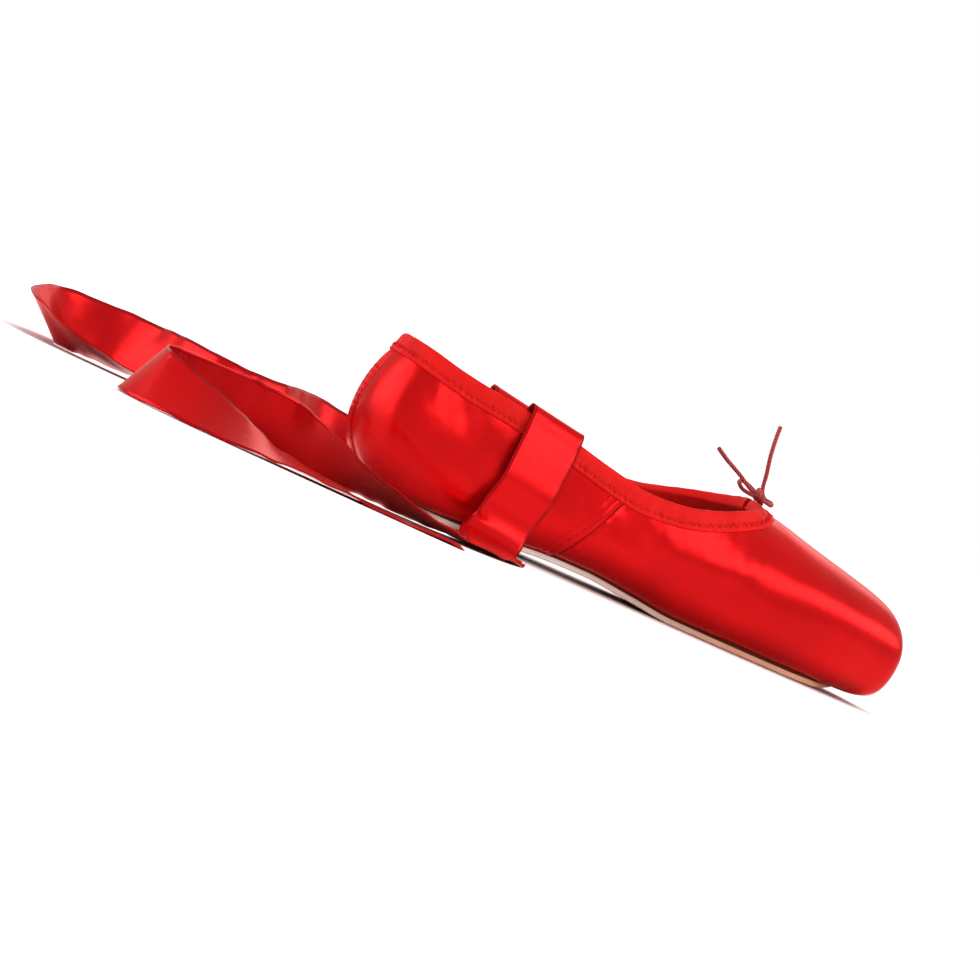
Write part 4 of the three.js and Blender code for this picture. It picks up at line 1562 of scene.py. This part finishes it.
@dataclass
class Soles:
    """The leather outsole, the dark line along it (partly its glued edge, partly painted shade) and
    the canvas sock inside.
    """

    last: Last
    finishes: Finishes
    heel_inset: float = 27.0
    toe_inset: float = 15.0
    heel_width: float = 42.0
    waist_width: float = 38.0
    ball_width: float = 56.0
    tip_width: float = 40.0
    skived: float = 1.8
    skived_length: float = 15.0
    sock_from: float = 0.09
    sock_round: float = 18.0
    rows: int = 220
    sock_rows: int = 160

    @property
    def length(self) -> float:
        """The outsole's length."""
        return self.last.sizes.length - self.heel_inset - self.toe_inset

    def outline(self, share: np.ndarray) -> np.ndarray:
        """The outsole's half width, its ends rounded.

        Args:
            share: Shares of its own length.

        Returns:
            The half width at each.
        """
        rows = [
            (0.0, 0.5 * self.heel_width),
            (0.12, 0.5 * self.heel_width),
            (0.24, 0.47 * self.heel_width),
            (0.38, 0.5 * self.waist_width),
            (0.5, 0.58 * self.waist_width),
            (0.62, 0.46 * self.ball_width),
            (0.72, 0.5 * self.ball_width),
            (0.84, 0.46 * self.ball_width),
            (1.0, 0.5 * self.tip_width),
        ]
        half = SmoothRows([r[0] for r in rows], rows)(share)[..., 1]
        end = np.minimum(share, 1 - share) * self.length
        rounded = np.clip(1 - end / (1.05 * half), 0, 1)
        return half * np.sqrt(np.clip(1 - rounded**2, 0, 1))

    def lift(self, share: np.ndarray) -> np.ndarray:
        """How far the last's bottom is lifted at shares of the shoe's length."""
        return self.last.values(np.clip(share, 0.117, 0.965))[..., 3]

    def build(self) -> None:
        """Builds the outsole, the dark line of glue and painted shade, and the sock."""
        s = self.last.sizes
        share = (1 - np.cos(np.linspace(0.0, math.pi, self.rows))) / 2
        half = self.outline(share)
        x = s.heel_x + self.heel_inset + share * self.length
        lift = self.lift(self.last.share_of(x))
        thick = s.outsole_thickness
        end = np.minimum(share, 1 - share) * self.length
        skived = self.skived * smoothstep(end, self.skived_length, 0.0)
        rim = [(-0.55, 0.0), (-0.2, 0.12), (0.0, 0.45), (0.02, 0.9)]
        rim += [(0.0, thick - 0.5), (-0.25, thick - 0.1)]
        ring = [(half * part * 0.97, lift + skived) for part in (0.0, 0.5, 0.8)]
        for out, up in rim:
            edge = 0.12 * ripple(x, 7.0, 0.4 + up)
            wide = np.maximum(half + (out + edge) * np.clip(half / 4, 0, 1), 0.0)
            ring.append((wide, lift + skived + up * (thick - skived) / thick))
        ring += [(half * part, lift + thick) for part in (0.8, 0.4, 0.0)]
        near = [(-y, z) for y, z in ring[1:-1][::-1]]
        outsole = grid_piece("outsole_leather", ring_grid(x, ring + near), wrap=True)
        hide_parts("outsole")
        self.finishes.dress(outsole, "leather", "sole")
        self.edge_line(x, half, lift)
        self.sock()

    def edge_line(self, x: np.ndarray, half: np.ndarray, lift: np.ndarray) -> None:
        """Builds the dark line between the outsole's edge and the satin: partly the glued edge,
        partly painted shade of the undercut there.

        Args:
            x: Stations along the outsole.
            half: The outsole's half width there.
            lift: Its lift there.
        """
        x, half, lift = x[2:-2], half[2:-2], lift[2:-2]
        inner = np.maximum(half - 0.55 - 0.2 * ripple(x, 13.0, 0.9), 0.3)
        low = lift + self.last.sizes.outsole_thickness - 0.25
        high = np.maximum(self.last.bottom_at(self.last.share_of(x), inner) + 0.12, low + 0.1)
        ring = [(inner, low), (inner, high), (inner * 0.9, high), (inner * 0.9, low)]
        near = [(-y, z) for y, z in ring[::-1]]
        # A dark strip standing partly for the glued edge and partly for painted shade in the
        # undercut.
        line = grid_piece("outsole_glue_and_shade_line", ring_grid(x, ring + near), wrap=True, caps=True)
        self.finishes.dress(line, "glue_and_shade", "sole")

    def sock(self) -> None:
        """Builds the canvas sock, which follows the inside of the upper's bottom."""
        s = self.last.sizes
        start = float(np.interp(self.sock_from, self.last.travel_share, self.last.travel))
        travel = np.linspace(start, self.last.knots[-6], self.sock_rows)
        share = self.last.sections(travel)[:, 0]
        wall = self.last.wall(share)
        low = s.sole_top + self.lift(share) + wall + s.clearance
        top = low + s.insole_thickness
        sides = [self.last.side_at(float(a), float(h)) for a, h in zip(share, top + 0.3)]
        reach = np.array(sides) - wall - 0.5
        x = self.last.x_of(share)
        rounded = np.clip(1 - (x - x[0]) / self.sock_round, 0.0, 1.0)
        reach = np.maximum(reach * np.sqrt(1 - rounded**2), 0.4)
        ring = []
        for part in np.linspace(-1.0, 1.0, 25):
            edge = 0.35 * smoothstep(np.array(abs(part)), 0.9, 1.0)
            ring.append((part * reach, top - edge + 0.08 * ripple(x, 23.0, part)))
        ring += [(part * reach, low + 0.05) for part in (0.8, 0.4, 0.0, -0.4, -0.8)]
        sock = grid_piece("insole_sock", ring_grid(x, ring), wrap=True, caps=True)
        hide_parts("insole")
        self.finishes.dress(sock, "canvas", "lining")


@dataclass
class AnkleRibbon:
    """A satin ribbon: sewn inside the quarter, over the collar and loosely along the floor."""

    last: Last
    finishes: Finishes
    side: Side
    floor_rows: Sequence[tuple[float, float, float, float]]
    width: float = 22.0
    thickness: float = 0.4
    length: float = 450.0
    sewn: float = 18.0
    at: float = 0.28
    loose_from: tuple[float, float] = (75.0, 110.0)
    floor_gap: float = 0.12
    fine_length: float = 50.0
    fine_rows: int = 80
    rows: int = 270
    columns: int = 15

    def stations(self) -> Grids:
        """The ribbon's route, from its sewn end to its free end.

        Returns:
            The middle line's points and the direction across the ribbon at each.
        """
        s = self.last.sizes
        out_face = s.clearance + 0.8
        x = s.heel_x + s.length * self.at
        top = float(self.last.collar_height(np.array(self.at)))
        room = 4 * s.clearance + 0.25
        inward, outward = s.wall + out_face + room, s.quarter_lap + out_face + room
        reach = self.width / s.length / 2
        shares = np.array([self.at - reach, self.at + reach])
        astern, ahead = (self.last.side_at(float(share), top) for share in shares)
        heights = self.last.collar_height(shares)
        slope = float(heights[1] - heights[0]) / self.width
        hung = (1.0, self.side.value * (ahead - astern) / self.width, slope)
        middle, across = [], []

        def place(px: float, py: float, pz: float, way: Sequence[float]) -> None:
            """Adds a station: its point, y away from the middle, and the way across."""
            middle.append((px, self.side.value * py, pz))
            across.append(tuple(way))

        for down in (self.sewn + 1, self.sewn / 2, 3.0):
            place(x, self.last.side_at(self.at, top - down) - inward, top - down, hung)
        centre = self.last.side_at(self.at, top) + (outward - inward) / 2
        half = (inward + outward) / 2 + s.clearance
        for turn in (165, 125, 90, 55, 15):
            a = math.radians(turn)
            over = top + 12 * s.clearance * math.sin(a)
            place(x, centre + half * math.cos(a), over, hung)
        for down in (3.5, 9.0, 16.0, 24.0):
            reach_out = self.last.side_at(self.at, top - down) + outward + 0.1 * room * down
            place(x - 0.12 * down, reach_out, top - down, hung)
        widest = self.last.side_at(self.at, s.belly_height)
        place(x - 5, widest + outward + 2.2, 14.0, (1.0, 0.0, -0.1))
        place(x - 7, widest + outward + 4.2, 6.0, (1.0, 0.0, -0.05))
        rows = np.array(self.floor_rows, float)
        for i, (px, py, tip, lift) in enumerate(rows):
            before, after = rows[max(i - 1, 0), :2], rows[min(i + 1, len(rows) - 1), :2]
            heading = (after - before) / np.linalg.norm(after - before)
            tipped = math.radians(tip)
            flat = math.cos(tipped)
            way = (heading[1] * flat, -self.side.value * heading[0] * flat, math.sin(tipped))
            place(px, py, self.width / 2 * math.sin(tipped) + 0.45 + lift, way)
        return np.array(middle), np.array(across)

    def resample(self, rows: np.ndarray) -> np.ndarray:
        """A smooth line through the stations, cut to the ribbon's length.

        Args:
            rows: The stations, each a point and a direction.

        Returns:
            Rows close together over the collar and further apart on the floor.
        """
        dense = spline(rows, 20, with_end=False)
        run = running_length(dense[:, :3])
        end = min(self.length, float(run[-1]))
        fine = np.linspace(0.0, self.fine_length, self.fine_rows, endpoint=False)
        marks = np.concatenate([fine, np.linspace(self.fine_length, end, self.rows)])
        return pick(marks, run, dense)

    def build(self) -> bpy.types.Object:
        """Returns:
            The ribbon.
        """
        middle, across = self.stations()
        line = self.resample(np.hstack([middle, across * 6.0]))
        centre, way = line[:, :3], line[:, 3:]
        run = running_length(centre)
        heading = np.gradient(centre, axis=0)
        heading /= np.linalg.norm(heading, axis=1, keepdims=True)
        way = way - heading * np.sum(way * heading, axis=1, keepdims=True)
        way /= np.linalg.norm(way, axis=1, keepdims=True)
        face = np.cross(heading, way)
        loose = smoothstep(run, *self.loose_from)
        tag = self.side.value * 1.3
        columns = np.linspace(-1.0, 1.0, self.columns)
        layers = []
        for sign in (1, -1):
            for part in columns[::sign]:
                wave = 0.35 * ripple(run, 31.0, tag + 0.6 * part) * loose
                curl = ripple(run, 17.0, tag + 2.1 * np.sign(part))
                wave = wave + 0.3 * loose * abs(part) ** 3 * curl
                thick = self.thickness * (0.5 + 0.18 * (abs(part) > 0.9))
                side_step = way * (part * self.width / 2)
                layers.append(centre + side_step + face * (wave + sign * thick)[:, None])
        grid = np.stack(layers, axis=1)
        grid[..., 2] = np.maximum(grid[..., 2], self.floor_gap)
        flat = np.concatenate([columns, columns[::-1]]) * self.width / 2
        cloth = np.stack(np.broadcast_arrays(run[:, None], flat[None, :]), axis=2)
        name = f"ribbon_{self.side.name.lower()}_satin"
        ribbon = grid_piece(name, grid, wrap=True, caps=True, cloth=cloth)
        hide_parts(f"ribbon_{self.side.name.lower()}")
        self.finishes.dress(ribbon, "ribbon", "ribbon")
        held = (self.width * MM, self.length * MM)
        return ribbon


@dataclass
class Drawstring:
    """The elastic cord tied in a small bow over the gap in the binding."""

    last: Last
    finishes: Finishes
    diameter: float = 1.6
    turns: tuple[Point, ...] = ((0.35, 0.2, 1.75), (1.25, 1.1, 1.6), (1.45, 2.6, 1.5))

    def knot_place(self) -> np.ndarray:
        """Finds the middle of the knot.

        Returns:
            Its point.
        """
        s = self.last.sizes
        share = s.throat_at + 0.35 * s.binding_width / s.length
        roof = self.last.values(np.array([share]))[0, 5] + s.clearance + 0.8
        x = s.heel_x + s.length * share
        return np.array([x, 0.0, roof + s.clearance + 1.5 * self.diameter])

    def run(self, shares: Sequence[Point]) -> np.ndarray:
        """A smooth run of cord from points given as shares of the knot's size."""
        size = 3 * self.diameter
        return smooth_path(self.knot_place() + size * np.array(shares, float), 0.25)

    def build(self) -> None:
        """Builds the knot and the two cords that leave it."""
        knot = self.knot()
        nodes = {"near": ("drawstring_loop_near", "drawstring_end_up")}
        nodes["far"] = ("drawstring_loop_far", "drawstring_end_back")
        for name, shares in (("near", NEAR_CORD), ("far", FAR_CORD)):
            path = self.run(shares)
            grid = tube_points(path, self.diameter / 2, 10)
            cord = grid_piece(f"drawstring_{name}_cord", grid, wrap=True, caps=True)
            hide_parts(*nodes[name])
            self.finishes.dress(cord, "braid", "drawstring")
        LOG.info("%s tied", knot.name)

    def knot(self) -> bpy.types.Object:
        """Builds the knot from three turns of cord pulled tight round each other.

        Returns:
            The knot.
        """
        centre, paths = self.knot_place(), []
        turn = np.linspace(0.0, TAU, 49)[:, None]
        for tilt, spin, size in self.turns:
            ring = np.hstack([np.cos(turn), np.sin(turn), 0.22 * np.sin(2 * turn)]) * size
            turned = Matrix.Rotation(spin, 3, "Z") @ Matrix.Rotation(tilt, 3, "X")
            paths.append(centre + ring @ np.array(turned).T)
        knot = joined_tubes("drawstring_knot_turns", paths, 0.46 * self.diameter, 10)
        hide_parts("drawstring_knot")
        self.finishes.dress(knot, "braid", "drawstring")
        return knot


@dataclass(frozen=True)
class SoftLight:
    """A rectangular studio light that faces the shoe, in metres and watts."""

    name: str
    place: Point
    size: tuple[float, float]
    watts: float
    aim: Point = (0.0, 0.0, 0.03)

    def build(self) -> bpy.types.Object:
        """Hangs the light.

        Returns:
            The light.
        """
        data = bpy.data.lights.new(self.name, "AREA")
        data.shape = "RECTANGLE"
        data.size, data.size_y = self.size
        data.energy = self.watts
        lamp = bpy.data.objects.new(self.name, data)
        lamp.location = self.place
        towards = Vector(self.aim) - Vector(self.place)
        lamp.rotation_euler = towards.to_track_quat("-Z", "Y").to_euler()
        bpy.context.scene.collection.objects.link(lamp)
        return lamp


@dataclass
class Studio:
    """A pale floor, soft lights and the camera. Lengths here are metres."""

    azimuth: float = -19.0
    elevation: float = 1.6
    roll: float = 24.6
    distance: float = 1.7
    lens: float = 171.5
    sensor: float = 36.0
    sight: float = 100.0
    target: Point = (-0.058, -0.01, 0.018)
    surroundings: float = 0.78
    floor_light: float = 2.5
    floor_light_spread: float = 55.0
    floor_light_tilt: tuple[float, float] = (-12.0, 16.0)
    soft_lights: tuple[SoftLight, ...] = (
        SoftLight("side_strip", (0.75, -1.0, 0.86), (2.9, 0.56), 23.0),
        SoftLight("heel_light", (-1.5, 0.2, 0.48), (1.2, 0.9), 13.0),
        SoftLight("back_light", (0.3, 1.3, 0.8), (1.6, 0.6), 3.0),
    )

    def build(self) -> None:
        """Builds the floor, the lights and the camera."""
        self.lights(self.floor())
        self.camera()

    def floor(self) -> bpy.types.Object:
        """Builds the floor, wide enough to reach the horizon.

        Returns:
            The floor.
        """
        radii, around = np.array([0.02, 0.3, 0.7, 1.2, 2.0, 4.0, 8.0, 16.0, 40.0]), 64
        turn = np.linspace(0.0, TAU, around + 1)[:-1]
        level = np.zeros(around)
        rings = [np.stack([r * np.cos(turn), r * np.sin(turn), level], axis=1) for r in radii]
        points = np.vstack([np.zeros((around, 3)), np.concatenate(rings)])
        faces = grid_faces(len(radii) + 1, around, wrap=True)[:, ::-1]
        floor = mesh_from("studio_floor", points / MM - [0.0, 0.0, 0.1], faces)
        n = Nodes("floor_paint")
        uneven = n.noise(n.place(), 3.0)
        paint = n.shade(
            {
                "Base Color": n.mix(uneven, (0.9, 0.9, 0.9, 1.0), (0.93, 0.93, 0.93, 1.0)),
                "Roughness": 0.6,
                "Specular IOR Level": 0.15,
            }
        )
        floor.data.materials.append(paint)
        return floor

    def lights(self, floor: bpy.types.Object) -> None:
        """Sets the surroundings, one wide light for the floor and soft ones for the shoe.

        Args:
            floor: The floor, which has its own light.
        """
        self.world()
        sun = bpy.data.lights.new("floor_light", "SUN")
        sun.energy = self.floor_light
        sun.angle = math.radians(self.floor_light_spread)
        high = bpy.data.objects.new("floor_light", sun)
        tilt = [math.radians(turn) for turn in self.floor_light_tilt]
        high.rotation_euler = (*tilt, 0.0)
        bpy.context.scene.collection.objects.link(high)
        self.receive(high, floor, "INCLUDE")
        for light in self.soft_lights:
            self.receive(light.build(), floor, "EXCLUDE")

    def world(self) -> None:
        """Makes the surroundings: pure white to look at, and a little dimmer as light."""
        white = (1.0, 1.0, 1.0, 1.0)
        world = bpy.data.worlds.new("studio")
        bpy.context.scene.world = world
        world.use_nodes = True
        tree = world.node_tree
        around = tree.nodes["Background"]
        around.inputs["Color"].default_value = white
        around.inputs["Strength"].default_value = self.surroundings
        seen = tree.nodes.new("ShaderNodeBackground")
        seen.inputs["Color"].default_value = white
        ray = tree.nodes.new("ShaderNodeLightPath")
        mix = tree.nodes.new("ShaderNodeMixShader")
        tree.links.new(ray.outputs["Is Camera Ray"], mix.inputs[0])
        tree.links.new(around.outputs[0], mix.inputs[1])
        tree.links.new(seen.outputs[0], mix.inputs[2])
        tree.links.new(mix.outputs[0], tree.nodes["World Output"].inputs["Surface"])

    def receive(self, lamp: bpy.types.Object, floor: bpy.types.Object, state: str) -> None:
        """Keeps a light on the floor alone, or off it.

        Args:
            lamp: The light.
            floor: The floor.
            state: INCLUDE for the floor alone, EXCLUDE for all but the floor.
        """
        group = bpy.data.collections.new(lamp.name + "_reach")
        group.objects.link(floor)
        lamp.light_linking.receiver_collection = group
        group.collection_objects[0].light_linking.link_state = state

    def camera(self) -> None:
        """Sets the camera beside the shoe, a little behind it, rolled so that the toe drops."""
        data = bpy.data.cameras.new("camera")
        data.lens = self.lens
        data.sensor_width = self.sensor
        data.clip_end = self.sight
        camera = bpy.data.objects.new("camera", data)
        a, e = math.radians(self.azimuth), math.radians(self.elevation)
        back = Vector((math.sin(a) * math.cos(e), -math.cos(a) * math.cos(e), math.sin(e)))
        camera.location = Vector(self.target) + self.distance * back
        upright = (-back).to_track_quat("-Z", "Y").to_matrix()
        turned = upright @ Matrix.Rotation(math.radians(self.roll), 3, "Z")
        camera.rotation_euler = turned.to_euler()
        bpy.context.scene.collection.objects.link(camera)
        bpy.context.scene.camera = camera
        bpy.context.scene.view_settings.view_transform = "Standard"


NEAR, FAR = (Side.NEAR,), (Side.FAR,)

# The main creases, given in side view: start, end, width, height and sides.
SATIN_FOLDS = (
    Fold((-94.0, 46.0), (-62.0, 11.0), 8.5, -1.0, NEAR),
    Fold((-92.0, 44.0), (-66.0, 12.0), 8.0, -0.8, FAR),
    Fold((-108.0, 40.0), (-98.0, 22.0), -5.0, 0.45, NEAR),
    Fold((-74.0, 40.0), (-46.0, 20.0), -8.0, 0.75),
    Fold((-58.0, 42.0), (-60.0, 26.0), 4.0, -0.4, NEAR),
    Fold((-38.0, 34.0), (-30.0, 10.0), 6.0, -0.5),
    Fold((-24.0, 36.0), (2.0, 16.0), 7.0, -0.8, NEAR),
    Fold((-10.0, 30.0), (40.0, 31.0), -6.5, 0.55, NEAR),
    Fold((2.0, 10.0), (46.0, 18.0), 6.0, -0.5),
    Fold((-20.0, 28.0), (14.0, 8.0), 6.0, -0.6, FAR),
    Fold((27.0, 42.0), (36.0, 31.0), 2.6, -0.3, NEAR),
    Fold((32.0, 43.0), (42.0, 33.0), 2.2, -0.26, NEAR),
    Fold((34.0, 40.0), (62.0, 36.0), 5.0, -0.3),
    Fold((46.0, 29.0), (100.0, 24.0), 9.0, 0.5),
    Fold((58.0, 14.0), (98.0, 12.0), 6.0, -0.35),
)

# The ribbons' way along the floor: x, distance from the shoe's middle, tip from lying flat in
# degrees, and lift over the floor.
NEAR_FLOOR_ROWS = (
    (-62, 42, 0, 1.2), (-64, 58, 0, 0), (-69, 76, 0, 0), (-80, 93, 2, 0), (-97, 105, 6, 0),
    (-116, 108, 14, 0), (-134, 102, 32, 0), (-147, 88, 56, 0), (-155, 70, 70, 0),
    (-168, 58, 72, 0), (-184, 57, 70, 0), (-200, 63, 70, 0), (-212, 76, 66, 0),
    (-214, 93, 58, 0), (-203, 107, 44, 0), (-186, 115, 26, 0), (-168, 120, 8, 0.8),
    (-150, 126, 0, 1.4), (-134, 131, 0, 0), (-118, 135, 0, 0), (-102, 138, 0, 0),
)
FAR_FLOOR_ROWS = (
    (-61, 42, 0, 1.2), (-63, 54, 0, 0), (-70, 68, 25, 0), (-84, 78, 52, 0), (-101, 76, 68, 0),
    (-114, 62, 74, 0), (-126, 46, 70, 0), (-142, 38, 66, 0), (-158, 42, 70, 0),
    (-168, 58, 74, 0), (-176, 76, 70, 0), (-190, 88, 66, 0), (-206, 86, 60, 0),
    (-216, 70, 50, 0), (-221, 52, 40, 0), (-214, 36, 25, 0), (-198, 26, 10, 1),
    (-182, 20, 2, 2), (-166, 16, 0, 0.3), (-152, 10, 0, 0), (-140, 2, 0, 0),
)

# The cords' way from inside the knot round their loop to their end, in shares of its size.
NEAR_CORD = (
    (0.42, -0.16, -0.5), (0.2, -0.42, -0.2), (-0.12, -0.62, 0.14), (-0.9, -1.8, 0.5),
    (-1.3, -2.8, 0.3), (-0.95, -3.5, -0.1), (-0.1, -3.25, -0.25), (0.33, -2.1, -0.08),
    (0.27, -0.7, 0.0), (0.16, -0.15, 0.3), (0.04, 0.0, 0.7), (-0.2, -0.1, 1.8),
    (-0.6, -0.3, 3.2), (-0.8, -0.3, 4.6), (-0.75, 0.0, 5.6),
)
FAR_CORD = (
    (0.42, 0.16, -0.5), (0.2, 0.42, -0.2), (-0.12, 0.62, 0.14), (-0.8, 1.9, 0.55),
    (-0.8, 3.0, 0.4), (-0.05, 3.55, -0.02), (0.65, 3.0, -0.15), (0.75, 1.95, -0.1),
    (0.27, 0.7, 0.0), (-0.1, 0.2, 0.2), (-0.7, 0.05, 0.2), (-2.0, 0.4, 0.9),
    (-3.3, 0.6, 1.5), (-4.6, 0.2, 2.1),
)


def main() -> None:
    """Builds the dressed shoe and its studio."""
    logging.basicConfig(level=logging.INFO, format="%(message)s")
    Studio().build()
    sizes = ShoeSizes()
    last = Last(sizes, SATIN_FOLDS)
    surface = Surface(last)
    seam = (sizes.seam_foot * MM, sizes.seam_slope)
    heel = ((sizes.heel_x + sizes.back_seam_reach) * MM, sizes.back_seam_width / 2 * MM)
    satin = Satin("shoe_satin", rgb(208, 9, 13), rgb(156, 3, 8), seam=seam, heel=heel)
    finishes = Finishes(satin)
    Drawstring(last, finishes).build()
    Upper(last, surface, finishes).build()
    Binding(last, surface, finishes).build()
    Soles(last, finishes).build()
    AnkleRibbon(last, finishes, Side.NEAR, NEAR_FLOOR_ROWS).build()
    AnkleRibbon(last, finishes, Side.FAR, FAR_FLOOR_ROWS).build()


if __name__ == "__main__":
    main()
